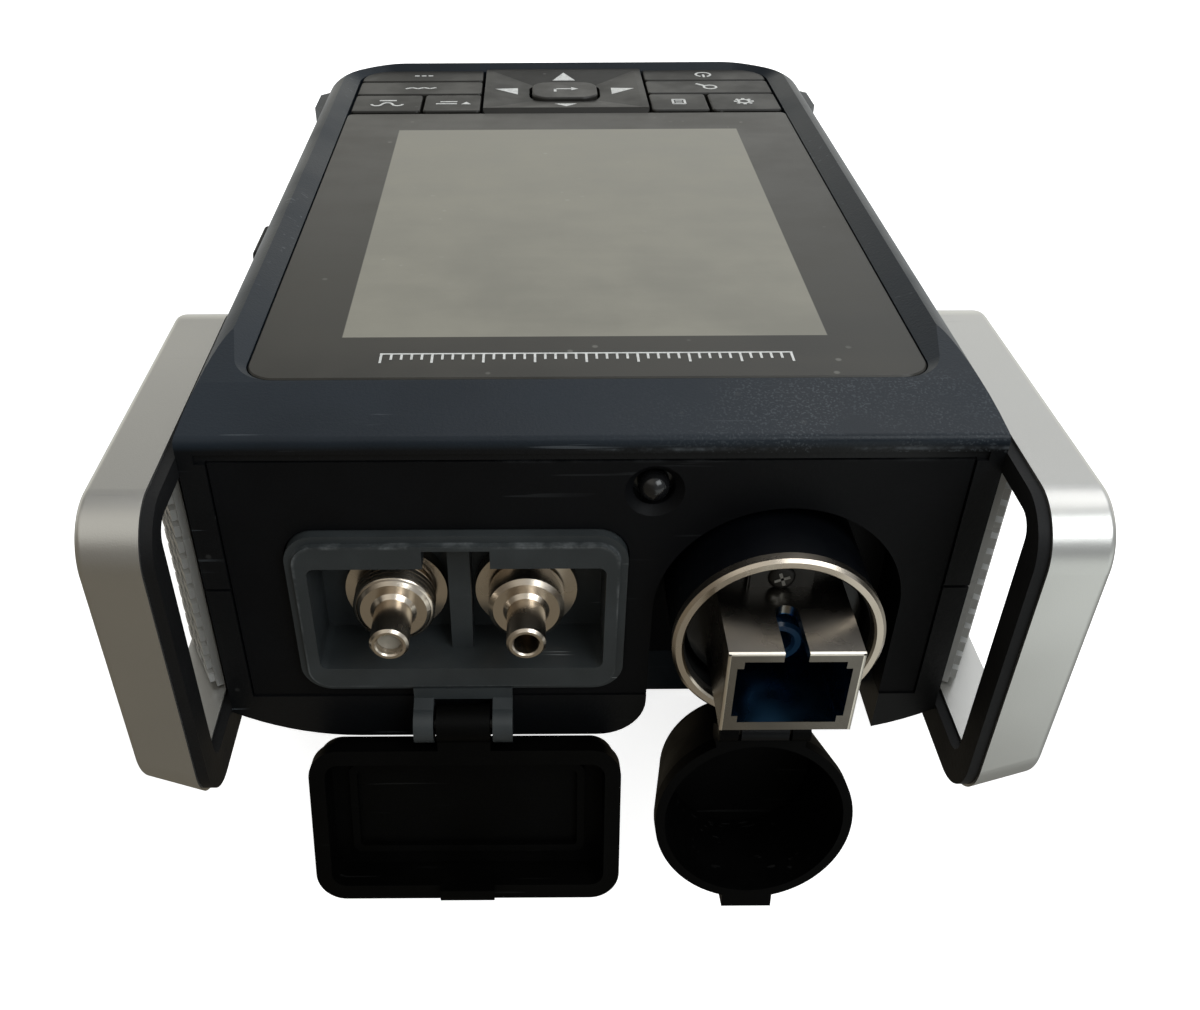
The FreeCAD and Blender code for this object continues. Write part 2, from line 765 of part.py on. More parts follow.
def build_battery():
    bay = "(2 * battery_round + bay_gap)"
    near_y = "(battery_near - bay_gap)"
    far_y = "(battery_near + battery_long + bay_gap)"
    cover = new_body("battery_cover")
    pad(cover, "XY", "0", "cover_thick - press_gap", rounded(
        f"-{bay} - cover_lap", f"{bay} + cover_lap", f"{near_y} - cover_lap",
        f"{far_y} + cover_lap", "1.5"))
    for side in (-1, 1):
        x = f"{side} * ({bay} + cover_screw_in)"
        pocket(cover, "XY", "-1", "cover_thick + 2",
               circle(x, f"{near_y} + 6", "screw_round + seat_gap"))
        pocket(cover, "XY", "-1", "1.8", circle(x, f"{near_y} + 6", "1.6"))
    dress(cover, "Chamfer", "0.25", lambda e: near(box_size(e).ZMax, "0")
          and box_size(e).DiagonalLength > 1.8 and e.Curve.TypeId != "Part::GeomCircle"
          or near(box_size(e).ZMax, "0") and near(box_size(e).XLength, "1.5"))
    keep(cover)
    cells = new_body("battery_pack")
    high = "(floor_thick + battery_round + 0.3)"
    pad(cells, "XZ", "battery_near", "battery_long",
        circle("-battery_round", high, "battery_round"),
        circle("battery_round + press_gap", high, "battery_round"))
    keep(cells)


def build_end_panel():
    body = new_body("end_panel")
    gap = "seat_gap"
    pad(body, "XZ", PANEL_FRONT, "panel_thick", rectangle(
        f"-slot_half + {gap}", f"slot_half - {gap}", f"slot_low + {gap} / 2", f"slot_high - {gap}"))
    pad(body, "XZ", f"{PANEL_FRONT} + panel_thick / 2",
        f"{SILL_REAR} - {PANEL_FRONT} - panel_thick / 2 - 0.05",
        pocket_loop("pocket_wall", f"slot_low + {gap} / 2"))
    pocket(body, "XZ", f"{PANEL_FRONT} - 1", f"{POCKET_REAR} - {PANEL_FRONT} + 1",
           pocket_loop("0", "slot_low - 1"))
    pocket(body, "XZ", f"{PANEL_FRONT} - 1", "front_at", circle("sc_mid", "sc_high", "sleeve_round + 1"))
    wide = "(port_wide / 2 + seat_gap)"
    pocket(body, "XZ", f"{PANEL_FRONT} - 1", "panel_thick + 2", rounded(
        f"port_mid - {wide}", f"port_mid + {wide}", "port_low - seat_gap",
        "port_low + port_tall + seat_gap", "port_corner + seat_gap"))
    pocket(body, "XZ", f"{PANEL_FRONT} - 1", "panel_thick + 2",
           circle("torch_mid", "torch_high", "torch_hole"))
    dress(body, "Chamfer", "torch_sink", lambda e: e.Curve.TypeId == "Part::GeomCircle"
          and near(e.Curve.Radius, "torch_hole") and near(box_size(e).YMin, PANEL_FRONT)
          and near(box_size(e).YMax, PANEL_FRONT))
    return keep(body)


def build_display():
    glass = new_body("display_glass")
    pad(glass, "XY", RECESS_FLOOR, "glass_thick", rounded(
        "-glass_wide / 2", "glass_wide / 2", "-glass_near", "glass_far", "glass_corner", "1"))
    dress(glass, "Chamfer", "0.15", lambda e: near(box_size(e).ZMin, "glass_high"))
    keep(glass)
    lcd = new_body("lcd_module")
    top = f"({ROOF_UNDER} - 0.1)"
    half = "(window_half + lcd_lap)"
    pad(lcd, "XY", f"{top} - lcd_thick", "lcd_thick", rounded(
        f"-{half}", half, "-window_near - lcd_lap", "window_far + lcd_lap", "0.8"))
    pad(lcd, "XY", top, "roof_thick", rectangle(
        "-window_half + 0.3", "window_half - 0.3", "-window_near + 0.3", "window_far - 0.3"))
    keep(lcd)


# ---------------------------------------------------------------- keypad

def build_key(label, left, right, low, high, outer=""):
    """One keycap on the rubber mat; a far outer key follows the corner of the case."""
    body = new_body(label)
    small, large = "key_corner", "key_outer_corner"
    loops = {
        "": rounded(left, right, low, high, small),
        "left": path([
            (f"{left} + {small}", low), (f"{right} - {small}", low, small),
            (right, f"{low} + {small}"), (right, f"{high} - {small}", small),
            (f"{right} - {small}", high), (f"{left} + {large} - key_gap", high, f"{large} - key_gap"),
            (left, f"{high} - {large} + key_gap"), (left, f"{low} + {small}", small)]),
        "right": path([
            (f"{left} + {small}", low), (f"{right} - {small}", low, small),
            (right, f"{low} + {small}"), (right, f"{high} - {large} + key_gap", f"{large} - key_gap"),
            (f"{right} - {large} + key_gap", high), (f"{left} + {small}", high, small),
            (left, f"{high} - {small}"), (left, f"{low} + {small}", small)])}
    pad(body, "XY", "key_high - key_tall", "key_tall", loops[outer])
    dress(body, "Fillet", "key_edge", lambda e: near(box_size(e).ZMin, "key_high"))
    return keep(body)


def build_keypad():
    inner, outer = "(pad_half + key_gap)", "(keypad_half - key_gap)"
    near_low, near_high = "keypad_near", "(keypad_near + row_near_long)"
    mid_low = f"({near_high} + key_gap)"
    mid_high = f"({mid_low} + row_mid_long)"
    far_low = f"({mid_high} + key_gap)"
    half_gap = "key_gap / 2"
    build_key("key_left_near_outer", f"-{outer}", f"-split_at - {half_gap}", near_low, near_high)
    build_key("key_left_near_inner", f"-split_at + {half_gap}", f"-{inner}", near_low, near_high)
    build_key("key_right_near_inner", inner, f"split_at - {half_gap}", near_low, near_high)
    build_key("key_right_near_outer", f"split_at + {half_gap}", outer, near_low, near_high)
    build_key("key_left_mid", f"-{outer}", f"-{inner}", mid_low, mid_high)
    build_key("key_right_mid", inner, outer, mid_low, mid_high)
    build_key("key_left_far", f"-{outer}", f"-{inner}", far_low, KEYPAD_FAR, "left")
    build_key("key_right_far", inner, outer, far_low, KEYPAD_FAR, "right")

    middle = f"((keypad_near + {KEYPAD_FAR}) / 2)"
    pad_low, pad_far = "keypad_near", KEYPAD_FAR
    hole_x = "(enter_wide / 2 + enter_gap)"
    hole_y = "(enter_long / 2 + enter_gap)"
    hole = rounded(f"-{hole_x}", hole_x, f"{middle} - {hole_y}", f"{middle} + {hole_y}",
                   "enter_corner + enter_gap")
    # the direction pad: four facets that fall from a raised edge to the middle key
    rocker = new_body("direction_pad")
    pad(rocker, "XY", "pad_high - pad_tall", "pad_tall",
        rounded("-pad_half", "pad_half", pad_low, pad_far, "key_corner"))
    rim = "pad_rim"
    outer_sketch = new_sketch(rocker, "XY", "pad_high + 0.01", [rectangle(
        f"-pad_half + {rim}", f"pad_half - {rim}", f"{pad_low} + {rim}", f"{pad_far} - {rim}")])
    inner_sketch = new_sketch(rocker, "XY", "pad_high - pad_dish", [rectangle(
        f"-{hole_x} + 1", f"{hole_x} - 1", f"{middle} - {hole_y} + 1", f"{middle} + {hole_y} - 1")])
    dish = rocker.newObject("PartDesign::SubtractiveLoft", "pad_dish_cut")
    dish.Profile = outer_sketch
    dish.Sections = [inner_sketch]
    dish.Ruled = True
    doc.recompute()
    pocket(rocker, "XY", "pad_high - pad_tall - 1", "pad_tall + 2", hole)
    pocket(rocker, "YZ", "-pad_half - 1", "2 * pad_half + 2", path([
        (f"{pad_low} - 1", "pad_high - 2 * pad_slope"), (f"{pad_low} + pad_slope", "pad_high"),
        (f"{pad_low} + pad_slope", "pad_high + 1"), (f"{pad_low} - 1", "pad_high + 1")]))
    keep(rocker)
    # the ring under the pad that lets it rock both ways
    ring = new_body("pad_rocker")
    ring_top = "(pad_high - pad_tall - rocker_gap)"
    reach = "rocker_band"
    pad(ring, "XY", f"{ring_top} - rocker_thick", "rocker_thick", rounded(
        f"-{hole_x} - {reach}", f"{hole_x} + {reach}", f"{middle} - {hole_y} - {reach}",
        f"{middle} + {hole_y} + {reach}", "enter_corner + enter_gap"), hole)
    keep(ring)
    enter = new_body("enter_key")
    pad(enter, "XY", "key_high - key_tall", "key_tall", rounded(
        "-enter_wide / 2", "enter_wide / 2", f"{middle} - enter_long / 2",
        f"{middle} + enter_long / 2", "enter_corner"))
    dress(enter, "Fillet", "key_edge", lambda e: near(box_size(e).ZMin, "key_high"))
    keep(enter)

    mat = new_body("keypad_mat")
    mat_half = f"({HALF} - case_wall - mat_inset)"
    mat_far = f"({KEYPAD_FAR} + key_gap)"
    pad(mat, "XY", MAT_LOW, "mat_thick", rounded(
        f"-{mat_half}", mat_half, "keypad_near - mat_lap", mat_far, "1",
        "far_inner_corner - mat_inset / 2"))
    keep(mat)
    board = new_body("key_board")
    pad(board, "XY", f"{MAT_LOW} - board_thick", "board_thick", rounded(
        f"-{mat_half}", mat_half, "keypad_near - mat_lap - 1", mat_far, "1",
        "far_inner_corner - mat_inset / 2"))
    keep(board)


# ---------------------------------------------------------------- ports behind the lid

def build_port_frame():
    body = new_body("port_frame_body")
    left, right = "(port_mid - port_wide / 2)", "(port_mid + port_wide / 2)"
    high = "(port_low + port_tall)"
    front = "(-front_at - port_proud)"
    step = "rim_step"
    pad(body, "XZ", front, f"front_at + port_proud - port_back",
        rounded(f"{left} + {step}", f"{right} - {step}", f"port_low + {step}", f"{high} - {step}",
                f"port_corner - {step}"))
    pad(body, "XZ", f"{front} + rim_step_deep", "front_at + port_proud - port_back - rim_step_deep",
        rounded(left, right, "port_low", high, "port_corner"))
    pad(body, "XZ", f"{PANEL_REAR} + 0.05", "1.2", rounded(
        f"{left} - 0.8", f"{right} + 0.8", "port_low - 0.8", f"{high} + 0.8", "port_corner"))
    well_left, well_right = "(port_mid - well_wide / 2)", "(port_mid + well_wide / 2)"
    well_back = f"({front} + well_deep)"
    pocket(body, "XZ", f"{front} - 1", "well_deep + 1", rounded(
        well_left, well_right, "well_low", "well_low + well_tall", "0.8"))
    pocket(body, "XZ", f"{front} - 1", "notch_deep + 1", rectangle(
        "port_mid - notch_wide / 2", "port_mid + notch_wide / 2", "well_low + well_tall - 1",
        "well_low + well_tall + notch_tall"))
    middle = "((threaded_mid + plain_mid) / 2)"
    pad(body, "XZ", f"{well_back} - divider_back", "divider_back + 0.5", rectangle(
        f"{middle} - divider_thick / 2", f"{middle} + divider_thick / 2", "well_low - 0.5",
        "well_low + well_tall + 0.5"))
    pocket(body, "XZ", f"{well_back} - 0.5", "6", circle("threaded_mid", "adapter_high", "stub_round + seat_gap"),
           circle("plain_mid", "adapter_high", "stub_round + seat_gap"))
    # the shelf and the two hinge lugs below the frame
    inner = "(barrel_long / 2 + lug_gap)"
    pad(body, "XZ", front, "port_proud + panel_back / 2", rectangle(
        f"port_mid - {inner} - lug_thick", f"port_mid + {inner} + lug_thick",
        "port_low - 1.0", "port_low + 0.5"))
    for near_edge in (f"(port_mid - {inner} - lug_thick)", f"(port_mid + {inner})"):
        pad(body, "YZ", near_edge, "lug_thick", path([
            ("-lid_axis_out", "lid_axis_high - eye_round", "eye_round"),
            ("-lid_axis_out + eye_round", "lid_axis_high"),
            ("-lid_axis_out + eye_round", "port_low - 1.4"),
            ("-front_at - panel_back", "port_low - 1.0"),
            ("-front_at - panel_back", "port_low + 0.5"),
            (f"{front} + 0.05", "port_low + 0.5"),
            (f"{front} + 0.05", "port_low - 0.8"),
            ("-lid_axis_out", "lid_axis_high + eye_round", "eye_round"),
            ("-lid_axis_out - eye_round", "lid_axis_high", "eye_round")]))
    span = f"(barrel_long + 2 * lug_gap + 2 * lug_thick)"
    pocket(body, "YZ", f"port_mid - {span} / 2 - 1", f"{span} + 2",
           circle("-lid_axis_out", "lid_axis_high", "lid_pin_round + press_gap"))
    body.Label = "port_frame"
    keep(body)
    pin = rod("lid_pin", f"port_mid - {span} / 2", "-lid_axis_out", "lid_axis_high",
              "lid_pin_round", span, "X")
    keep(pin)


def build_ferrule_adapter(label, x, bore_end):
    """A turned nickel adapter: rear stub, flange with two flats, ring and ferrule tube."""
    body = new_body(label)
    seat = "(front_at + port_proud - well_deep)"
    ring_front = f"({seat} + flange_long + ring_long)"
    turn(body, "XZ", [
        ("0", "stub_back"), ("stub_round", "stub_back"), ("stub_round", seat),
        ("flange_round", seat), ("flange_round", f"{seat} + flange_long"),
        ("ring_round - 0.4", f"{seat} + flange_long"), ("ring_round - 0.4", f"{seat} + flange_long + 0.4"),
        ("ring_round", f"{seat} + flange_long + 0.4"), ("ring_round", f"{ring_front} - 0.4"),
        ("ring_round - 0.5", ring_front), ("tip_round + 0.4", ring_front),
        ("tip_round", f"{ring_front} + 0.4"), ("tip_round", "tip_at - 0.25"),
        ("tip_round - 0.25", "tip_at"), ("ferrule_round + 0.15", "tip_at"),
        ("ferrule_round", "tip_at - 0.15"), ("ferrule_round", f"tip_at - {bore_end}"),
        ("0", f"tip_at - {bore_end}")])
    for sign in (-1, 1):
        pocket(body, "XY", f"{seat} - 0.01", "flange_long + 0.01", rectangle(
            "-flange_round - 1", "flange_round + 1",
            "flange_flat" if sign > 0 else "-flange_round - 1",
            "flange_round + 1" if sign > 0 else "-flange_flat"))
    place(body, x, "0", "adapter_high", "X", "90")
    return keep(body)


def build_adapters():
    build_ferrule_adapter("threaded_adapter", "threaded_mid", "bore_deep")
    build_ferrule_adapter("plain_adapter", "plain_mid", "bore_deep")
    lens = rod("adapter_lens", "threaded_mid", "-(tip_at - lens_deep - lens_thick)", "adapter_high",
               "ferrule_round - press_gap", "lens_thick", "-Y")
    keep(lens)
    nuts = []
    for i, x in enumerate(("threaded_mid", "plain_mid")):
        nut = new_body(f"nut_{i}")
        corner = "nut_round"
        points = [(f"{corner} * cos({60 * k})", f"{corner} * sin({60 * k})") for k in range(6)]
        pad(nut, "XY", "port_back - nut_long - press_gap", "nut_long", path(points))
        pocket(nut, "XY", "port_back - nut_long - 1", "nut_long + 2", circle("0", "0", "stub_round + press_gap"))
        place(nut, x, "0", "adapter_high", "X", "90")
        nuts.append(nut)
    keep(group("adapter_nuts", nuts))


def build_port_lid():
    """The rectangular lid in its closed place, measured from its hinge axis, then swung open."""
    body = new_body("port_lid")
    left, right = "(port_mid - lid_wide / 2)", "(port_mid + lid_wide / 2)"
    high = "(lid_low + lid_tall)"
    front = f"({LID_RIM} - lid_deep)"
    step = "lid_step"
    pad(body, "XZ", front, "lid_deep", rounded(
        f"{left} + {step}", f"{right} - {step}", f"lid_low + {step}", f"{high} - {step}",
        f"lid_corner - {step}"))
    dress(body, "Fillet", "lid_round", lambda e: near(box_size(e).YMax, front))
    pad(body, "XZ", f"{LID_RIM} - lid_band", "lid_band",
        rounded(left, right, "lid_low", high, "lid_corner"))
    wall = f"({step} + lid_wall)"
    pocket(body, "XZ", f"{front} + lid_wall", "lid_deep", rounded(
        f"{left} + {wall}", f"{right} - {wall}", f"lid_low + {wall}", f"{high} - {wall}",
        f"lid_corner - {wall}"))
    ridge = f"({wall} + lid_ridge_in)"
    inner = f"({ridge} + lid_ridge_wide)"
    pad(body, "XZ", f"{front} + lid_wall - 0.1", "lid_ridge_tall + 0.1",
        rounded(f"{left} + {ridge}", f"{right} - {ridge}", f"lid_low + {ridge}", f"{high} - {ridge}", "1"),
        rounded(f"{left} + {inner}", f"{right} - {inner}", f"lid_low + {inner}", f"{high} - {inner}", "0.5"))
    pad(body, "XZ", f"{front} + lid_wall - 0.1", "lid_deep - lid_wall + close_gap + hook_reach + 0.1", rectangle(
        "port_mid - hook_wide / 2", "port_mid + hook_wide / 2", "hook_high", "hook_high + hook_tall"))
    start = "(port_mid - barrel_long / 2)"
    pad(body, "YZ", start, "barrel_long", path([
        ("0", "-barrel_round", "barrel_round"), ("barrel_round", "0", "barrel_round"),
        (LID_RIM, f"sqrt(barrel_round ^ 2 - {LID_RIM} ^ 2)"),
        (LID_RIM, f"lid_low + {wall} - 0.2"), (f"{LID_RIM} - 2", f"lid_low + {wall} - 0.2"),
        (f"{LID_RIM} - 2", f"sqrt(barrel_round ^ 2 - ({LID_RIM} - 2) ^ 2)", "barrel_round"),
        ("-barrel_round", "0", "barrel_round")]))
    pocket(body, "YZ", f"{start} - 1", "barrel_long + 2", circle("0", "0", "lid_pin_round + run_gap"))
    place(body, "0", "-lid_axis_out", "lid_axis_high", "X", "lid_open")
    return keep(body)


# ---------------------------------------------------------------- SC port and its cap

def build_sc_port():
    tube = new_body("collar_tube")
    rear = "(front_at - pocket_deep)"
    turn(tube, "XZ", [
        ("collar_inner", rear), ("collar_round", rear), ("collar_round", "collar_front"),
        ("collar_inner", "collar_front")])
    place(tube, "sc_mid", "0", "sc_high", "X", "90")
    web = new_body("collar_web")
    below = "(sc_high - collar_round)"
    start = "(sc_mid - cap_knuckle_half)"
    pad(web, "YZ", start, "2 * cap_knuckle_half", path([
        ("-cap_axis_out", "cap_axis_high - cap_knuckle", "cap_knuckle"),
        ("-cap_axis_out + cap_knuckle", "cap_axis_high"),
        ("-cap_axis_out + 5", f"{below} - 0.6"), ("-cap_axis_out + 5", f"{below} + 0.5"),
        ("-collar_front", f"{below} + 0.5"), ("-collar_front", f"{below} - 0.3"),
        ("-cap_axis_out", "cap_axis_high + cap_knuckle", "cap_knuckle"),
        ("-cap_axis_out - cap_knuckle", "cap_axis_high", "cap_knuckle")]))
    pocket(web, "YZ", f"{start} - 1", "2 * cap_knuckle_half + 2",
           circle("-cap_axis_out", "cap_axis_high", "cap_pin_round + press_gap"))
    keep(fuse("sc_collar", tube, web))

    trim = new_body("sc_trim_ring")
    turn(trim, "XZ", [
        ("trim_inner", "collar_front"), ("trim_round", "collar_front"),
        ("trim_round", "collar_front + trim_thick - 0.3"), ("trim_round - 0.3", "collar_front + trim_thick"),
        ("trim_inner + 0.2", "collar_front + trim_thick"), ("trim_inner", "collar_front + trim_thick - 0.2")])
    place(trim, "sc_mid", "0", "sc_high", "X", "90")
    keep(trim)

    plate = new_body("sc_plate")
    pad(plate, "XZ", f"{POCKET_REAR} - plate_thick", "plate_thick",
        circle("sc_mid", "sc_high", "collar_inner - press_gap"))
    pocket(plate, "XZ", "-front_at", "front_at", circle("sc_mid", "sc_high", "sleeve_round + press_gap"),
           circle("sc_mid", "sc_high + sc_screw_at", "sc_screw_round + press_gap"),
           circle("sc_mid", "sc_high - sc_screw_at", "sc_screw_round + press_gap"))
    keep(plate)

    # the square adapter: chamfered at its back, keyed on top, notched corners in its mouth
    body = new_body("sc_adapter")
    back = f"({POCKET_REAR} - plate_thick)"
    half, tall = "(sc_wide / 2)", "(sc_tall / 2)"
    pad(body, "XY", f"sc_high - {tall}", "sc_tall", path([
        (f"sc_mid - {half}", "-sc_front"), (f"sc_mid + {half}", "-sc_front"),
        (f"sc_mid + {half}", f"{back} - 3.4"), (f"sc_mid + {half} - 2", f"{back} - 1.2"),
        (f"sc_mid + {half} - 2", back), (f"sc_mid - {half} + 2", back),
        (f"sc_mid - {half} + 2", f"{back} - 1.2"), (f"sc_mid - {half}", f"{back} - 3.4")]))
    ear = "(sc_tall / 2 + ear_high)"
    pad(body, "XZ", f"{back} - ear_thick", "ear_thick", rectangle(
        "sc_mid - ear_wide / 2", "sc_mid + ear_wide / 2", f"sc_high - {ear}", f"sc_high + {ear}"))
    pocket(body, "XZ", "-sc_front - 1", "sc_deep + 1", path([
        ("sc_mid - sc_mouth_wide / 2", "sc_high - sc_mouth_tall / 2"),
        ("sc_mid + sc_mouth_wide / 2", "sc_high - sc_mouth_tall / 2"),
        ("sc_mid + sc_mouth_wide / 2", "sc_high - sc_side_tall / 2"),
        ("sc_mid + sc_side_wide / 2", "sc_high - sc_side_tall / 2"),
        ("sc_mid + sc_side_wide / 2", "sc_high + sc_side_tall / 2"),
        ("sc_mid + sc_mouth_wide / 2", "sc_high + sc_side_tall / 2"),
        ("sc_mid + sc_mouth_wide / 2", "sc_high + sc_mouth_tall / 2"),
        ("sc_mid - sc_mouth_wide / 2", "sc_high + sc_mouth_tall / 2"),
        ("sc_mid - sc_mouth_wide / 2", "sc_high + sc_side_tall / 2"),
        ("sc_mid - sc_side_wide / 2", "sc_high + sc_side_tall / 2"),
        ("sc_mid - sc_side_wide / 2", "sc_high - sc_side_tall / 2"),
        ("sc_mid - sc_mouth_wide / 2", "sc_high - sc_side_tall / 2")]))
    slot = "key_slot_wide / 2"
    pocket(body, "XY", "sc_high + sc_mouth_tall / 2 - 0.5", "4", path([
        (f"sc_mid - {slot}", "-sc_front - 1"), (f"sc_mid + {slot}", "-sc_front - 1"),
        (f"sc_mid + {slot}", "-sc_front + key_slot_long", slot),
        ("sc_mid", f"-sc_front + key_slot_long + {slot}", slot),
        (f"sc_mid - {slot}", "-sc_front + key_slot_long")]))
    pocket(body, "XZ", "-sc_front + sc_deep - 1", "sc_front", circle("sc_mid", "sc_high", "sleeve_round + press_gap"),
           circle("sc_mid", "sc_high + sc_screw_at", "sc_screw_round + press_gap"),
           circle("sc_mid", "sc_high - sc_screw_at", "sc_screw_round + press_gap"))
    keep(body)

    sleeve = new_body("sc_sleeve")
    tip = "(sc_front - sc_deep + sleeve_long)"
    tail = "(front_at - pocket_deep - pocket_wall)"
    turn(sleeve, "XZ", [
        ("ferrule_round + 0.02", f"{tip} - bore_deep"), ("ferrule_round + 0.02", f"{tip} - 0.3"),
        ("ferrule_round + 0.3", tip), ("sleeve_round - 0.3", tip), ("sleeve_round", f"{tip} - 0.3"),
        ("sleeve_round", tail), ("0", tail), ("0", f"{tip} - bore_deep")])
    place(sleeve, "sc_mid", "0", "sc_high", "X", "90")
    keep(sleeve)

    screws = []
    for i, sign in enumerate((1, -1)):
        item = new_body(f"sc_screw_{i}")
        seat = "(front_at - pocket_deep + plate_thick + ear_thick)"
        turn(item, "XZ", [
            ("0", f"{seat} - 3"), ("sc_screw_round", f"{seat} - 3"), ("sc_screw_round", seat),
            ("sc_head_round", seat), ("sc_head_round", f"{seat} + sc_head_thick * 0.6"),
            ("sc_head_round * 0.7", f"{seat} + sc_head_thick"), ("0", f"{seat} + sc_head_thick")])
        place(item, "sc_mid", "0", f"sc_high + {sign} * sc_screw_at", "X", "90")
        screws.append(item)
    keep(group("sc_screws", screws))


def build_round_cap():
    """The tapered cap in its closed place, measured from its hinge axis, then swung open."""
    cup = new_body("cap_cup")
    turn(cup, "XZ", [
        ("0", "cap_deep"), ("cap_end_round - cap_edge", "cap_deep", "-cap_edge"),
        ("cap_end_round", "cap_deep - cap_edge"), ("cap_rim_round", "1.6"), ("cap_rim_round", "0"),
        ("cap_rim_round - cap_wall", "0"), ("cap_end_round - cap_wall", "cap_deep - cap_wall"),
        ("0", "cap_deep - cap_wall")])
    gap = "(cap_axis_out - collar_front - trim_thick)"
    rim = f"(close_gap - {gap})"
    centre = "(sc_high - cap_axis_high)"
    place(cup, "0", f"-{rim}", centre, "X", "90")
    ears = []
    for i, start in enumerate(("cap_knuckle_half + lug_gap", "-cap_knuckle_half - lug_gap - cap_ear_wide")):
        ear = new_body(f"cap_ear_{i}")
        top = f"({centre} - cap_rim_round + 1.0)"
        pad(ear, "YZ", start, "cap_ear_wide", path([
            ("0", "-cap_knuckle", "cap_knuckle"), ("cap_knuckle", "0", "cap_knuckle"),
            ("0", "cap_knuckle"), (f"-{rim}", "cap_knuckle"), (f"-{rim}", top),
            (f"-{rim} - 2.4", top), (f"-{rim} - 2.4", "cap_knuckle"), ("-cap_knuckle", "0", "cap_knuckle")]))
        pocket(ear, "YZ", f"{start} - 1", "cap_ear_wide + 2", circle("0", "0", "cap_pin_round + run_gap"))
        ears.append(ear)
    tab = box("cap_tab", "-cap_tab_wide / 2", f"-{rim} - cap_tab_long", f"{centre} + cap_rim_round - 0.8",
              "cap_tab_wide", "cap_tab_long", "cap_tab_high + 0.8")
    whole = fuse("round_cap", cup, *ears, tab)
    place(whole, "sc_mid", "-cap_axis_out", "cap_axis_high", "X", "cap_open")
    keep(whole)
    span = "(2 * cap_knuckle_half + 2 * lug_gap + 2 * cap_ear_wide)"
    keep(rod("cap_pin", f"sc_mid - {span} / 2", "-cap_axis_out", "cap_axis_high",
             "cap_pin_round", span, "X"))


def build_torch():
    body = new_body("torch_led")
    rear = "(front_at - panel_back - panel_thick)"
    dome = f"({rear} - 0.9 + led_long - led_round)"
    turn(body, "XZ", [
        ("0", f"{rear} - 0.95"), ("led_round + 0.9", f"{rear} - 0.95"), ("led_round + 0.9", f"{rear} - 0.05"),
        ("led_round", f"{rear} - 0.05"), ("led_round", f"{dome} - 0.9", "led_round"),
        ("0", f"{dome} + led_round - 0.9")])
    place(body, "torch_mid", "0", "torch_high", "X", "90")
    keep(body)


# ---------------------------------------------------------------- side guards

def guard_side(inset, lift="0"):
    """The guard seen from the side: a bow with round corners."""
    corner = f"(guard_corner - {inset})"
    return rounded(f"-guard_front + {inset}", f"-guard_back - {inset}",
                   f"guard_low + {inset} + {lift}", f"guard_high - {inset}", corner)


def guard_tail_cut(inset):
    """What is cut off the outer corner of the tail, in plan."""
    out = f"({HALF} + liner_thick + guard_thick)"
    back = f"(-guard_back - {inset})"
    return path([
        (out, f"{back} - guard_tail", "guard_tail"), (f"{out} - guard_tail", back),
        (f"{out} - guard_tail", f"{back} + 2"), (f"{out} + 2", f"{back} + 2"),
        (f"{out} + 2", f"{back} - guard_tail")])


def loop_cutter(label, grow, reach):
    """The finger opening of a guard: rounded from the side, slanted at the back in plan."""
    side = new_body(f"{label}_side")
    pad(side, "YZ", f"{HALF} - 2", "liner_thick + guard_thick + 4", rounded(
        f"-guard_front + guard_front_leg - {grow}", "-guard_back - 2",
        f"guard_low + guard_low_leg - {grow}", f"guard_high - guard_top_leg + {grow}",
        f"loop_corner"))
    plan = new_body(f"{label}_plan")
    start = f"({HALF} - 2)"
    end = f"({HALF} + liner_thick + guard_thick + 2)"
    slope = "((loop_wall_in - loop_wall_out) / (liner_thick + guard_thick))"
    pad(plan, "XY", "0", "guard_high", path([
        (start, "-guard_front - 2"), (end, "-guard_front - 2"),
        (end, f"-loop_wall_out + 2 * {slope} + {reach}"),
        (start, f"-loop_wall_in - 2 * {slope} + {reach}")]))
    tool = doc.addObject("Part::MultiCommon", f"{label}_tool")
    tool.Shapes = [side, plan]
    return tool


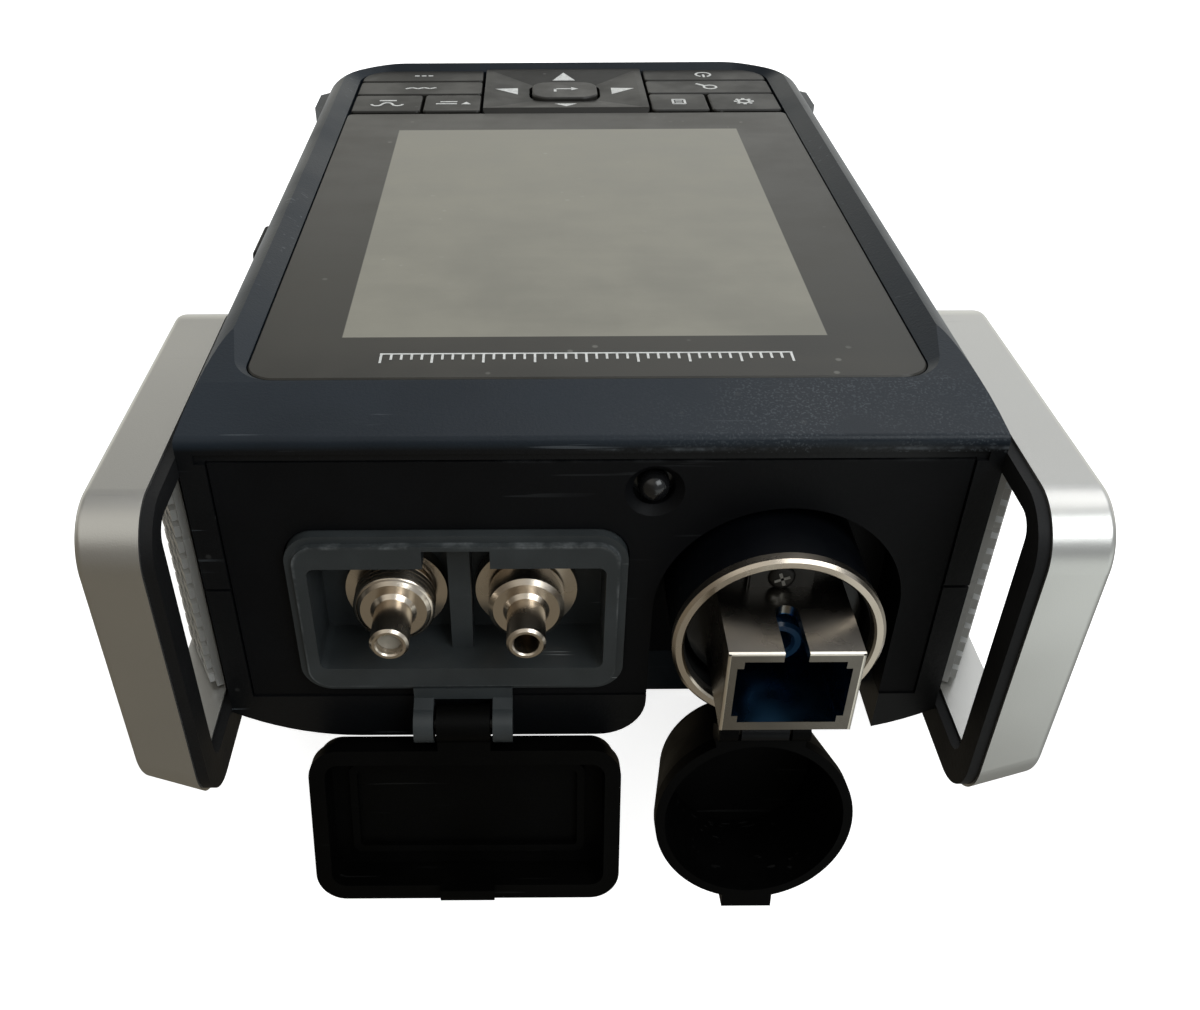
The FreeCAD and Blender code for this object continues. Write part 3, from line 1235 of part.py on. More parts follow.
def build_guards():
    inner = f"({HALF} + liner_thick)"
    band = new_body("guard_band")
    inner_side = new_sketch(band, "YZ", inner, [guard_side("0")])
    outer_side = new_sketch(band, "YZ", f"{inner} + guard_thick", [guard_side("0", "guard_slant")])
    bow = band.newObject("PartDesign::AdditiveLoft", "guard_bow")
    bow.Profile = inner_side
    bow.Sections = [outer_side]
    bow.Ruled = True
    doc.recompute()
    pocket(band, "XY", "0", "guard_high + 2", guard_tail_cut("0"))
    tail_start = "(-guard_back - guard_tail)"
    dress(band, "Fillet", "guard_edge", lambda e: near(box_size(e).XMin, f"{inner} + guard_thick")
          and not (near(box_size(e).YMin, tail_start) and near(box_size(e).YMax, tail_start)))
    drill = [rod(f"guard_drill_{i}", f"{inner} - 1", "-guard_screw_at", z, "screw_round + press_gap",
                 "screw_bite + 1.3", "X") for i, z in enumerate(("guard_screw_low", "guard_screw_high"))]
    right = keep(cut("guard_right", band, loop_cutter("guard_loop", "0", "0"), *drill))
    keep(mirrored("guard_left", right))

    skin = new_body("liner_skin")
    pad(skin, "YZ", HALF, "liner_thick", guard_side("liner_inset"))
    holes = [rod(f"liner_drill_{i}", f"{HALF} - 1", "-guard_screw_at", z, "screw_round + seat_gap",
                 "liner_thick + 2", "X") for i, z in enumerate(("guard_screw_low", "guard_screw_high"))]
    liner = keep(cut("guard_liner_right", skin, loop_cutter("liner_loop", "0.3", "0.6"), *holes))
    keep(mirrored("guard_liner_left", liner))

    # the studded grip on the slanted wall inside the loop
    angle = "atan((loop_wall_in - loop_wall_out) / (liner_thick + guard_thick))"
    run = "sqrt((loop_wall_in - loop_wall_out) ^ 2 + (liner_thick + guard_thick) ^ 2)"
    low = "(guard_low + guard_low_leg)"
    high = "(guard_high - guard_top_leg)"
    grip = new_body("guard_grip_right")
    start = "(liner_thick / cos(" + angle + ") + grip_inset)"
    pad(grip, "XZ", "-grip_thick - press_gap", "grip_thick", rectangle(
        start, f"{run} - grip_outer_inset", f"{low} + 0.2", f"{high} - 0.2"))
    sketch = new_sketch(grip, "XZ", "-grip_thick - press_gap + 0.1", [rectangle(
        f"{start} + 0.4", f"{start} + 0.4 + stud_wide", f"{low} + 0.7", f"{low} + 0.7 + stud_tall")])
    stud = grip.newObject("PartDesign::Pad", "stud")
    stud.Profile = sketch
    stud.setExpression("Length", ref("stud_proud + 0.1"))
    doc.recompute()
    pattern = grip.newObject("PartDesign::MultiTransform", "studs")
    pattern.Originals = [stud]
    steps = []
    for name, axis, pitch, count in (("stud_rows_pattern", "V_Axis", "stud_pitch", "stud_rows"),
                                     ("stud_columns_pattern", "H_Axis", "stud_step", "stud_columns")):
        line = grip.newObject("PartDesign::LinearPattern", name)
        line.Direction = (sketch, [axis])
        line.setExpression("Length", ref(f"{pitch} * ({count} - 1)"))
        line.setExpression("Occurrences", ref(count))
        steps.append(line)
    pattern.Transformations = steps
    grip.Tip = pattern
    doc.recompute()
    place(grip, HALF, "-loop_wall_in", "0", "Z", angle)
    keep(grip)
    keep(mirrored("guard_grip_left", grip))

    screws = []
    for i, (side, z) in enumerate((s, z) for s in (-1, 1) for z in ("guard_screw_low", "guard_screw_high")):
        length = "case_wall + liner_thick + screw_bite"
        screws.append(screw(f"guard_screw_{i}", length, f"{side} * ({HALF} - case_wall)",
                            "-guard_screw_at", z, "Y", f"{-90 * side}"))
    keep(group("guard_screws", screws))


# ---------------------------------------------------------------- inside and underside

def build_inside():
    board = new_body("main_board")
    pad(board, "XY", "main_board_high + press_gap", "board_thick - 2 * press_gap", rounded(
        "-main_board_half", "main_board_half", "-main_board_near", "main_board_far", "4"))
    for side, y in POSTS:
        pocket(board, "XY", "main_board_high - 1", "board_thick + 2",
               circle(f"{side} * post_mid", y, "screw_round + seat_gap"))
    keep(board)
    low = "(floor_thick + module_gap / 2)"
    for label, left, right, back in (("optical_module", "optics_low", "optics_high", "optics_back"),
                                     ("meter_module", "meter_low", "meter_high", "meter_back")):
        module = new_body(label)
        pad(module, "XY", low, f"module_top - {low}", rounded(
            left, right, f"{SILL_REAR} + module_back_off", f"-{back}", "1"))
        dress(module, "Chamfer", "0.6", lambda e: near(box_size(e).ZMin, "module_top"))
        keep(module)
    screws = [screw(f"case_screw_{i}", "main_board_high + board_thick + screw_bite - case_screw_sink",
                    f"{side} * post_mid", y, "case_screw_sink", "X", "180")
              for i, (side, y) in enumerate(POSTS)]
    keep(group("case_screws", screws))
    bay = "(2 * battery_round + bay_gap)"
    screws = []
    for i, side in enumerate((-1, 1)):
        item = new_body(f"cover_screw_{i}")
        turn(item, "XZ", [
            ("0", "0.1"), ("1.45", "0.1"), ("1.45", "0.8 - press_gap"),
            ("screw_round", "0.8 - press_gap"), ("screw_round", "cover_thick + screw_bite - 0.2"),
            ("0", "cover_thick + screw_bite - 0.2")])
        place(item, f"{side} * ({bay} + cover_screw_in)", "battery_near - bay_gap + 6", "0")
        screws.append(item)
    keep(group("cover_screws", screws))


def build_charge_port():
    middle = "(flap_near + flap_long / 2)"
    shell = new_body("charge_socket")
    back = f"-{HALF} + case_wall"
    wide, tall = "(socket_wide / 2 - 0.2)", "(socket_tall / 2 - 0.2)"
    pad(shell, "YZ", f"-{HALF} + 1.2", "socket_deep", rounded(
        f"{middle} - {wide}", f"{middle} + {wide}", f"plug_mid - {tall}", f"plug_mid + {tall}", "1"))
    pocket(shell, "YZ", f"-{HALF} + 1", "socket_deep - 1", rounded(
        f"{middle} - {wide} + socket_wall", f"{middle} + {wide} - socket_wall",
        f"plug_mid - {tall} + socket_wall", f"plug_mid + {tall} - socket_wall", "0.7"))
    pad(shell, "YZ", back, "socket_deep - 1.5", rectangle(
        f"{middle} - {wide} - 1", f"{middle} - {wide} + 0.2", "plug_mid - 1", "plug_mid + 1"))
    keep(shell)
    # the rubber flap hangs from its top edge, measured from there
    flap = new_body("port_flap")
    pad(flap, "YZ", "-flap_thick / 2", "flap_thick", rounded(
        "-flap_long / 2", "flap_long / 2", "-flap_tall", "flap_thick / 2", "0.8"))
    dress(flap, "Fillet", "flap_edge", lambda e: near(box_size(e).XMax, "-flap_thick / 2"))
    dress(flap, "Fillet", "flap_thick * 0.45", lambda e: near(box_size(e).XMin, "flap_thick / 2")
          and near(box_size(e).ZMin, "flap_thick / 2"))
    pad(flap, "YZ", "flap_thick / 2 - 0.1", "plug_deep + 0.1", rounded(
        "-plug_long / 2", "plug_long / 2", "plug_mid - flap_top - plug_tall / 2",
        "plug_mid - flap_top + plug_tall / 2", "0.8"))
    place(flap, f"-{HALF} - flap_thick / 2 - flap_gap", middle, "flap_top")
    keep(flap)


# ---------------------------------------------------------------- build, check and write

build_upper_case()
build_lower_case()
build_end_panel()
build_display()
build_keypad()
build_port_frame()
build_adapters()
build_port_lid()
build_sc_port()
build_round_cap()
build_torch()
build_guards()
build_inside()
build_battery()
build_charge_port()
doc.recompute()

for item in doc.Objects:
    if "Invalid" in item.State or "Error" in item.State:
        raise RuntimeError(f"{item.Label} failed: {item.State}")
for item in nodes:
    if item.Shape.isNull() or not item.Shape.isValid() or item.Shape.Volume <= 0:
        raise RuntimeError(f"{item.Label} has no valid solid")

os.makedirs("parts", exist_ok=True)
for item in nodes:
    item.Shape.exportStep(f"parts/{item.Label}.step")
print(len(nodes), "sub-parts written")
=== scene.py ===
"""The looks of a hand-held optical time domain reflectometer with its two port covers open."""

import json
import math

import bmesh
import bpy
from mathutils import Matrix, Vector


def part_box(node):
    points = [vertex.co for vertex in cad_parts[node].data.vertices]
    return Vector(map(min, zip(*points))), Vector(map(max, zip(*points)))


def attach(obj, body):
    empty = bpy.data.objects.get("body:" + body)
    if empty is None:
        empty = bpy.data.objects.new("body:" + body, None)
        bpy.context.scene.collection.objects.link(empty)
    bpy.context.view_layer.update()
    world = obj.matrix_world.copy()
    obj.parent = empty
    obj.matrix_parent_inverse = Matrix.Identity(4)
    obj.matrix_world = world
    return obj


MM = 0.001
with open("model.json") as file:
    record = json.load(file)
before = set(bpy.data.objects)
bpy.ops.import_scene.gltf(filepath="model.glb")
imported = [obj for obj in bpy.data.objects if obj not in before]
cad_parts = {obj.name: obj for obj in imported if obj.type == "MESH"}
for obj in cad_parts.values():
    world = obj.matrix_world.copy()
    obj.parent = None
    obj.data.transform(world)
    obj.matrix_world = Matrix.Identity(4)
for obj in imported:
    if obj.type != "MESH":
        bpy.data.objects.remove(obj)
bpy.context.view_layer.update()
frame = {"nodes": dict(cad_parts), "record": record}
nodes = frame["nodes"]
record = frame["record"]
scene = bpy.context.scene

LIP_LINE = 0.0365
RIM_FRONT = -0.05835
FRAME_MIDDLE = Vector((-0.01265, 0.0176))
FRAME_HALF = Vector((0.0157, 0.00905))
FRAME_ROUND = 0.0023
MOUTH_TALL = 0.0075
SQUARE_TALL = 0.0095


# ---------------------------------------------------------------- shader building blocks

def wire(tree, source, target):
    tree.links.new(source, target)


def maths(tree, operation, *values):
    """A Math node fed by sockets or plain numbers; gives its output."""
    node = tree.nodes.new("ShaderNodeMath")
    node.operation = operation
    for slot, value in zip(node.inputs, values):
        if isinstance(value, bpy.types.NodeSocket):
            wire(tree, value, slot)
        else:
            slot.default_value = value
    return node.outputs[0]


def soft_step(tree, value, low, high):
    """0 below low, 1 above high, smooth between."""
    node = tree.nodes.new("ShaderNodeMapRange")
    node.interpolation_type = "SMOOTHSTEP"
    wire(tree, value, node.inputs["Value"])
    for name, edge in (("From Min", low), ("From Max", high)):
        if isinstance(edge, bpy.types.NodeSocket):
            wire(tree, edge, node.inputs[name])
        else:
            node.inputs[name].default_value = edge
    return node.outputs[0]


def noise(tree, where, scale, detail=4.0, rough=0.55):
    node = tree.nodes.new("ShaderNodeTexNoise")
    wire(tree, where, node.inputs["Vector"])
    if isinstance(scale, bpy.types.NodeSocket):
        wire(tree, scale, node.inputs["Scale"])
    else:
        node.inputs["Scale"].default_value = scale
    node.inputs["Detail"].default_value = detail
    node.inputs["Roughness"].default_value = rough
    return node.outputs["Fac"]


def place_in(tree):
    """The point on the piece, in metres from the middle of the underside."""
    return tree.nodes.new("ShaderNodeTexCoord").outputs["Object"]


def stretched(tree, where, turn, scale):
    node = tree.nodes.new("ShaderNodeMapping")
    node.inputs["Rotation"].default_value = turn
    node.inputs["Scale"].default_value = scale
    wire(tree, where, node.inputs["Vector"])
    return node.outputs["Vector"]


def shader_group(name, inputs, outputs, build):
    """A node group with named number inputs and outputs; build fills it."""
    group = bpy.data.node_groups.new(name, "ShaderNodeTree")
    for label, value in inputs:
        socket = group.interface.new_socket(label, in_out="INPUT", socket_type="NodeSocketFloat")
        socket.default_value = value
    for label in outputs:
        group.interface.new_socket(label, in_out="OUTPUT", socket_type="NodeSocketFloat")
    ins = group.nodes.new("NodeGroupInput")
    outs = group.nodes.new("NodeGroupOutput")
    build(group, ins.outputs, outs.inputs)
    return group


def build_grain(tree, ins, outs):
    """The even sparkle-eroded grain of a moulding tool."""
    where = place_in(tree)
    fine = noise(tree, where, ins["Grain"], 2.0, 0.6)
    coarse = noise(tree, where, maths(tree, "MULTIPLY", ins["Grain"], 0.31), 2.0, 0.5)
    wire(tree, maths(tree, "ADD", maths(tree, "MULTIPLY", fine, 0.7),
                     maths(tree, "MULTIPLY", coarse, 0.3)), outs["Height"])


def build_handling(tree, ins, outs):
    """Broad hand smears, and hairline scratches that run several ways."""
    where = place_in(tree)
    smear = noise(tree, where, ins["Smear"], 3.0, 0.6)
    wire(tree, soft_step(tree, smear, 0.35, 0.68), outs["Smear"])
    lines = None
    for turn in (0.4, -0.7, 1.9):
        streak = noise(tree, stretched(tree, where, (turn, turn * 0.6, turn * 1.7), (60, 1900, 1900)),
                       1.0, 1.0, 0.4)
        band = soft_step(tree, streak, 0.735, 0.76)
        lines = band if lines is None else maths(tree, "MAXIMUM", lines, band)
    patch = soft_step(tree, noise(tree, where, 55.0, 1.0, 0.5), 0.5, 0.62)
    wire(tree, maths(tree, "MULTIPLY", lines, maths(tree, "MULTIPLY", patch, ins["Scratches"])),
         outs["Scratch"])


def build_dust(tree, ins, outs):
    """Specks of dust and lint that have settled on top faces."""
    where = place_in(tree)
    cells = tree.nodes.new("ShaderNodeTexVoronoi")
    wire(tree, where, cells.inputs["Vector"])
    cells.inputs["Scale"].default_value = 420.0
    speck = soft_step(tree, cells.outputs["Distance"], 0.16, 0.08)
    chance = soft_step(tree, noise(tree, where, 90.0, 2.0, 0.5), 0.58, 0.66)
    wire(tree, maths(tree, "MULTIPLY", maths(tree, "MULTIPLY", speck, chance), ins["Amount"]),
         outs["Dust"])


def build_chafe_and_highlight(tree, ins, outs):
    """A broken pale line along an edge, from the distance to that edge: rubbing, and on some parts a painted
    highlight.
    """
    where = place_in(tree)
    near = soft_step(tree, ins["Distance"], ins["Width"], 0.0)
    patchy = soft_step(tree, noise(tree, where, 240.0, 4.0, 0.7), ins["Sparing"], 0.8)
    wire(tree, maths(tree, "MULTIPLY", near, patchy), outs["Chafe"])


GRAIN = shader_group("moulded_grain", [("Grain", 3200.0)], ["Height"], build_grain)
HANDLING = shader_group("handling_marks", [("Smear", 38.0), ("Scratches", 1.0)],
                        ["Smear", "Scratch"], build_handling)
DUST = shader_group("settled_dust", [("Amount", 1.0)], ["Dust"], build_dust)
# The pale edge line serves as rubbing and as painted edge highlight.
CHAFE_AND_HIGHLIGHT = shader_group("edge_chafe_and_highlight", [("Distance", 1.0), ("Width", 0.0004), ("Sparing", 0.5)],
                     ["Chafe"], build_chafe_and_highlight)


def use(tree, group, **values):
    node = tree.nodes.new("ShaderNodeGroup")
    node.node_tree = group
    for name, value in values.items():
        if isinstance(value, bpy.types.NodeSocket):
            wire(tree, value, node.inputs[name])
        else:
            node.inputs[name].default_value = value
    return node.outputs


def tint(tree, amount, first, second):
    """A colour that goes from the first to the second with the amount."""
    node = tree.nodes.new("ShaderNodeMix")
    node.data_type = "RGBA"
    wire(tree, amount, node.inputs[0])
    for slot, value in ((node.inputs[6], first), (node.inputs[7], second)):
        if isinstance(value, bpy.types.NodeSocket):
            wire(tree, value, slot)
        else:
            slot.default_value = (*value, 1.0)
    return node.outputs[2]


def between(tree, amount, low, high):
    node = tree.nodes.new("ShaderNodeMapRange")
    wire(tree, amount, node.inputs["Value"])
    node.inputs["To Min"].default_value = low
    node.inputs["To Max"].default_value = high
    return node.outputs[0]


def raise_bump(tree, surface, height, distance, strength=1.0):
    node = tree.nodes.new("ShaderNodeBump")
    node.inputs["Strength"].default_value = strength
    node.inputs["Distance"].default_value = distance
    wire(tree, height, node.inputs["Height"])
    wire(tree, node.outputs["Normal"], surface.inputs["Normal"])


def new_material(name):
    material = bpy.data.materials.new(name)
    material.use_nodes = True
    tree = material.node_tree
    return material, tree, tree.nodes["Principled BSDF"]


def split(tree, where):
    node = tree.nodes.new("ShaderNodeSeparateXYZ")
    wire(tree, where, node.inputs[0])
    return node.outputs


# ---------------------------------------------------------------- finishes

def moulded_plastic(name, colour, scuff_and_highlight, rough, grain=3200.0, relief=0.00003, smear=38.0,
                    scratches=1.0, dust=0.0, edge=None, glint_mask=None, gloss=0.3, shaded_end_colour=None):
    """Textured plastic with hand smears and scratches. The edge distance draws a pale line along an edge:
    rubbing, and on some parts a painted highlight. A speck mask adds painted glints, and an end colour paints
    shade on the front end below the lip.
    """
    material, tree, surface = new_material(name)
    marks = use(tree, HANDLING, Smear=smear, Scratches=scratches)
    shade = tint(tree, marks["Smear"], colour, [c * 1.25 for c in colour])
    # Painted shade: the front end of the case below the lip turns darker and greyer than the lit, bluish top.
    if shaded_end_colour:
        _, y, z = split(tree, place_in(tree))
        end = maths(tree, "MULTIPLY", soft_step(tree, y, -0.0535, -0.0545),
                    soft_step(tree, z, 0.0371, 0.0364))
        shade = tint(tree, end, shade, shaded_end_colour)
    # Scratches, rubbed edges, painted edge highlights and painted glints all tint towards the pale scuff
    # colour.
    worn = marks["Scratch"]
    if edge:
        rubbed = use(tree, CHAFE_AND_HIGHLIGHT, Distance=edge(tree), Width=0.0003, Sparing=0.42)["Chafe"]
        worn = maths(tree, "MAXIMUM", worn, rubbed)
    # Painted highlight: the glint mask paints pale points into the colour.
    if glint_mask:
        worn = maths(tree, "MAXIMUM", worn, maths(tree, "MULTIPLY", glint_mask(tree), 0.30))
    shade = tint(tree, maths(tree, "MULTIPLY", worn, 0.6), shade, scuff_and_highlight)
    if dust:
        settled = use(tree, DUST, Amount=dust)["Dust"]
        shade = tint(tree, settled, shade, (0.20, 0.20, 0.19))
    wire(tree, shade, surface.inputs["Base Color"])
    surface.inputs["Specular IOR Level"].default_value = gloss
    wire(tree, between(tree, marks["Smear"], rough - 0.06, rough + 0.07), surface.inputs["Roughness"])
    raise_bump(tree, surface, use(tree, GRAIN, Grain=grain)["Height"], relief)
    return material


def lip_distance(tree):
    """Distance to the rubbed line on the lip above the end panel, worn most on the right."""
    x, y, z = split(tree, place_in(tree))
    front = maths(tree, "MULTIPLY", maths(tree, "GREATER_THAN", y, -0.0562), 0.01)
    left = maths(tree, "MULTIPLY", soft_step(tree, x, 0.004, -0.004), 0.0003)
    line = maths(tree, "ABSOLUTE", maths(tree, "SUBTRACT", z, LIP_LINE))
    return maths(tree, "ADD", maths(tree, "ADD", line, left), front)


def frame_rim_rub_and_highlight_distance(tree):
    """Distance to the outer edge of the port frame's rim, which is rubbed most at its corners; the pale line
    is also a painted edge highlight, fainter on the lower half.
    """
    x, y, z = split(tree, place_in(tree))
    middle = FRAME_MIDDLE
    across = maths(tree, "SUBTRACT", maths(tree, "ABSOLUTE", maths(tree, "SUBTRACT", x, middle.x)),
                   FRAME_HALF.x - FRAME_ROUND)
    level = maths(tree, "SUBTRACT", maths(tree, "ABSOLUTE", maths(tree, "SUBTRACT", z, middle.y)),
                  FRAME_HALF.y - FRAME_ROUND)
    out_x, out_z = (maths(tree, "MAXIMUM", part, 0.0) for part in (across, level))
    corner = maths(tree, "SQRT", maths(tree, "ADD", maths(tree, "MULTIPLY", out_x, out_x),
                                       maths(tree, "MULTIPLY", out_z, out_z)))
    inside = maths(tree, "MINIMUM", maths(tree, "MAXIMUM", across, level), 0.0)
    edge = maths(tree, "ABSOLUTE", maths(tree, "SUBTRACT", maths(tree, "ADD", corner, inside),
                                         FRAME_ROUND - 0.0001))
    behind = maths(tree, "MULTIPLY", maths(tree, "GREATER_THAN", y, RIM_FRONT + 0.0006), 0.01)
    # Painted highlight: the line fades over the lower half of the frame, where the light misses the edge.
    low = maths(tree, "MULTIPLY", soft_step(tree, z, middle.y + 0.006, middle.y), 0.00015)
    return maths(tree, "ADD", maths(tree, "ADD", edge, behind), low)


def panel_highlight_distance(tree):
    """Distance to the top edge of the end panel, where a pale line is painted as the edge's highlight,
    fainter to the left.
    """
    x, _, z = split(tree, place_in(tree))
    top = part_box("end_panel")[1].z
    left = maths(tree, "MULTIPLY", soft_step(tree, x, 0.0, -0.02), 0.0002)
    return maths(tree, "ADD", maths(tree, "ABSOLUTE", maths(tree, "SUBTRACT", z, top)), left)


def shade_between_studs(tree):
    """1 on the floor between the studs of a grip, where painted shade darkens it."""
    x, _, _ = split(tree, place_in(tree))
    _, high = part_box("guard_grip_right")
    return soft_step(tree, maths(tree, "ABSOLUTE", x), high.x - 0.0002, high.x - 0.00035)


def painted_glints(tree):
    """Painted glints: fine pale points on the sloped front of the case, thicker to the right, where the light
    catches the slope.
    """
    x, y, z = split(tree, place_in(tree))
    patch = maths(tree, "MULTIPLY", soft_step(tree, x, -0.004, 0.022), soft_step(tree, y, -0.046, -0.050))
    patch = maths(tree, "MULTIPLY", patch, maths(tree, "GREATER_THAN", z, 0.036))
    cloud = soft_step(tree, noise(tree, place_in(tree), 120.0, 2.0, 0.5), 0.35, 0.60)
    speck = soft_step(tree, noise(tree, place_in(tree), 4200.0, 1.0, 0.5), 0.52, 0.68)
    return maths(tree, "MULTIPLY", maths(tree, "MULTIPLY", patch, cloud), speck)


def satin_silver(name, light, metal, rough, painted_shade=None):
    """Fine metallic paint: a satin sheen, faint rubbing and darker smears, with painted shade darker where a
    shade mask is given.
    """
    material, tree, surface = new_material(name)
    where = place_in(tree)
    marks = use(tree, HANDLING, Smear=22.0, Scratches=0.5)
    flake = noise(tree, where, 7000.0, 2.0, 0.6)
    mottled = maths(tree, "ADD", maths(tree, "MULTIPLY", marks["Smear"], 0.7),
                    maths(tree, "MULTIPLY", flake, 0.3))
    shade = tint(tree, mottled, [c * 0.86 for c in light], light)
    shade = tint(tree, maths(tree, "MULTIPLY", marks["Scratch"], 0.4), shade, [c * 0.6 for c in light])
    # Painted shade: darker where the shade mask is 1.
    if painted_shade:
        shade = tint(tree, painted_shade(tree), shade, [c * 0.5 for c in light])
    wire(tree, shade, surface.inputs["Base Color"])
    surface.inputs["Metallic"].default_value = metal
    wire(tree, between(tree, marks["Smear"], rough + 0.04, rough - 0.04), surface.inputs["Roughness"])
    raise_bump(tree, surface, flake, 0.000010)
    return material


def plated(name, colour, rough, tarnish=0.5, turned=False, lined=None):
    """Nickel, steel or bronze plate with tarnish clouds and, where turned, tool rings."""
    material, tree, surface = new_material(name)
    where = place_in(tree)
    cloud = soft_step(tree, noise(tree, where, 170.0, 3.0, 0.5), 0.30, 0.75)
    shade = tint(tree, maths(tree, "MULTIPLY", cloud, tarnish), colour, [c * 0.6 for c in colour])
    if lined:
        shade = tint(tree, lined(tree), shade, (0.040, 0.125, 0.240))
    wire(tree, shade, surface.inputs["Base Color"])
    surface.inputs["Metallic"].default_value = 1.0
    wire(tree, between(tree, cloud, rough, rough + 0.14), surface.inputs["Roughness"])
    if turned:
        rings = noise(tree, stretched(tree, where, (0, 0, 0), (1, 6000, 1)), 1.0, 1.0, 0.4)
        raise_bump(tree, surface, rings, 0.000004)
    else:
        raise_bump(tree, surface, noise(tree, where, 2600.0, 3.0, 0.6), 0.000006)
    return material


def mouth_lining(tree):
    """1 on the walls inside the square port's mouth, which show blue."""
    x, y, z = split(tree, place_in(tree))
    low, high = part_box("sc_adapter")
    middle, wall = (low.x + high.x) / 2, 0.0008
    across = maths(tree, "ABSOLUTE", maths(tree, "SUBTRACT", x, middle))
    inside = maths(tree, "LESS_THAN", across, (high.x - low.x) / 2 - wall)
    level = maths(tree, "ABSOLUTE", maths(tree, "SUBTRACT", z, (low.z + high.z) / 2))
    inside = maths(tree, "MULTIPLY", inside, maths(tree, "LESS_THAN", level, MOUTH_TALL / 2 + 0.0001))
    return maths(tree, "MULTIPLY", inside, maths(tree, "GREATER_THAN", y, low.y + 0.00005))


def printed_window(name):
    """Anti-glare glass: a dark printed border round the pale, switched-off display."""
    material, tree, surface = new_material(name)
    where = place_in(tree)
    x, y, _ = split(tree, where)
    low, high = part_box("display_glass")
    mid_x = (low.x + high.x) / 2
    half_x = 0.0243
    near_y, far_y = low.y + 0.0084, high.y - 0.0077
    across = maths(tree, "SUBTRACT", half_x, maths(tree, "ABSOLUTE", maths(tree, "SUBTRACT", x, mid_x)))
    along = maths(tree, "MINIMUM", maths(tree, "SUBTRACT", y, near_y), maths(tree, "SUBTRACT", far_y, y))
    inside = soft_step(tree, maths(tree, "MINIMUM", across, along), -0.00006, 0.00006)
    haze = noise(tree, where, 85.0, 5.0, 0.62)
    streaks = noise(tree, stretched(tree, where, (0, 0, 0.35), (30, 140, 1)), 1.0, 3.0, 0.6)
    cloud = soft_step(tree, maths(tree, "ADD", maths(tree, "MULTIPLY", haze, 0.6),
                                  maths(tree, "MULTIPLY", streaks, 0.4)), 0.36, 0.66)
    border = tint(tree, cloud, (0.018, 0.0170, 0.0140), (0.032, 0.030, 0.025))
    screen = tint(tree, cloud, (0.184, 0.178, 0.149), (0.236, 0.227, 0.189))
    shade = tint(tree, inside, border, screen)
    settled = use(tree, DUST, Amount=0.25)["Dust"]
    wire(tree, tint(tree, settled, shade, (0.36, 0.36, 0.33)), surface.inputs["Base Color"])
    wire(tree, between(tree, cloud, 0.30, 0.42), surface.inputs["Roughness"])
    surface.inputs["Specular IOR Level"].default_value = 0.35
    raise_bump(tree, surface, noise(tree, where, 5200.0, 2.0, 0.5), 0.000004)
    return material


def clear_plastic(name, colour, rough):
    material, tree, surface = new_material(name)
    where = place_in(tree)
    cloud = noise(tree, where, 700.0, 2.0, 0.5)
    wire(tree, tint(tree, cloud, colour, [c * 0.8 for c in colour]), surface.inputs["Base Color"])
    wire(tree, between(tree, cloud, rough, rough + 0.08), surface.inputs["Roughness"])
    surface.inputs["Transmission Weight"].default_value = 0.6
    surface.inputs["IOR"].default_value = 1.49
    return material


def printed_ink(name, colour):
    """Screen-printed marks, worn a little thin."""
    material, tree, surface = new_material(name)
    where = place_in(tree)
    thin = soft_step(tree, noise(tree, where, 1600.0, 3.0, 0.7), 0.35, 0.65)
    wire(tree, tint(tree, thin, [c * 0.78 for c in colour], colour), surface.inputs["Base Color"])
    wire(tree, between(tree, thin, 0.55, 0.45), surface.inputs["Roughness"])
    raise_bump(tree, surface, thin, 0.000003)
    return material


def circuit_board(name):
    material, tree, surface = new_material(name)
    where = place_in(tree)
    cells = tree.nodes.new("ShaderNodeTexVoronoi")
    cells.distance = "MANHATTAN"
    cells.inputs["Scale"].default_value = 260.0
    wire(tree, where, cells.inputs["Vector"])
    pads = soft_step(tree, cells.outputs["Distance"], 0.22, 0.18)
    wire(tree, tint(tree, pads, (0.012, 0.075, 0.035), (0.45, 0.42, 0.33)), surface.inputs["Base Color"])
    wire(tree, between(tree, pads, 0.4, 0.3), surface.inputs["Roughness"])
    raise_bump(tree, surface, pads, 0.00003)
    return material


# Painted light and shade on the case: its bluish colour stands for the lit top, the end colour paints the
# shaded front end, and the pale points on the slope are painted glints.
DARK_CASE = moulded_plastic("case_plastic", (0.0100, 0.0145, 0.0205), (0.17, 0.19, 0.21), 0.42,
                            scratches=0.5, dust=0.1, edge=lip_distance, glint_mask=painted_glints, gloss=0.20,
                            shaded_end_colour=(0.0042, 0.0046, 0.0054))
# Painted highlight: the end panel's pale top edge line.
END_PANEL = moulded_plastic("panel_plastic", (0.0034, 0.0036, 0.0042), (0.03, 0.032, 0.034), 0.50,
                            grain=2600.0, relief=0.00002, smear=60.0, scratches=0.7, gloss=0.10,
                            edge=panel_highlight_distance)
# The port frame's pale rim line is rubbing and a painted highlight.
PORT_FRAME = moulded_plastic("frame_plastic", (0.0300, 0.0345, 0.0365), (0.36, 0.38, 0.39), 0.42,
                             grain=3600.0, relief=0.000015, smear=110.0, edge=frame_rim_rub_and_highlight_distance)
COLLAR_FLOOR = moulded_plastic("collar_floor", (0.0030, 0.0029, 0.0026), (0.05, 0.05, 0.045), 0.24,
                               relief=0.00001, smear=260.0, scratches=0.5, gloss=0.35)
LID_PLASTIC = moulded_plastic("lid_plastic", (0.0011, 0.0011, 0.0010), (0.03, 0.03, 0.03), 0.46,
                              grain=2800.0, relief=0.00002, smear=120.0, scratches=0.4, gloss=0.06)
COLLAR_PLASTIC = moulded_plastic("collar_plastic", (0.0018, 0.0022, 0.0032), (0.04, 0.04, 0.04), 0.36,
                                 relief=0.00001, smear=150.0, scratches=0.3, gloss=0.14)
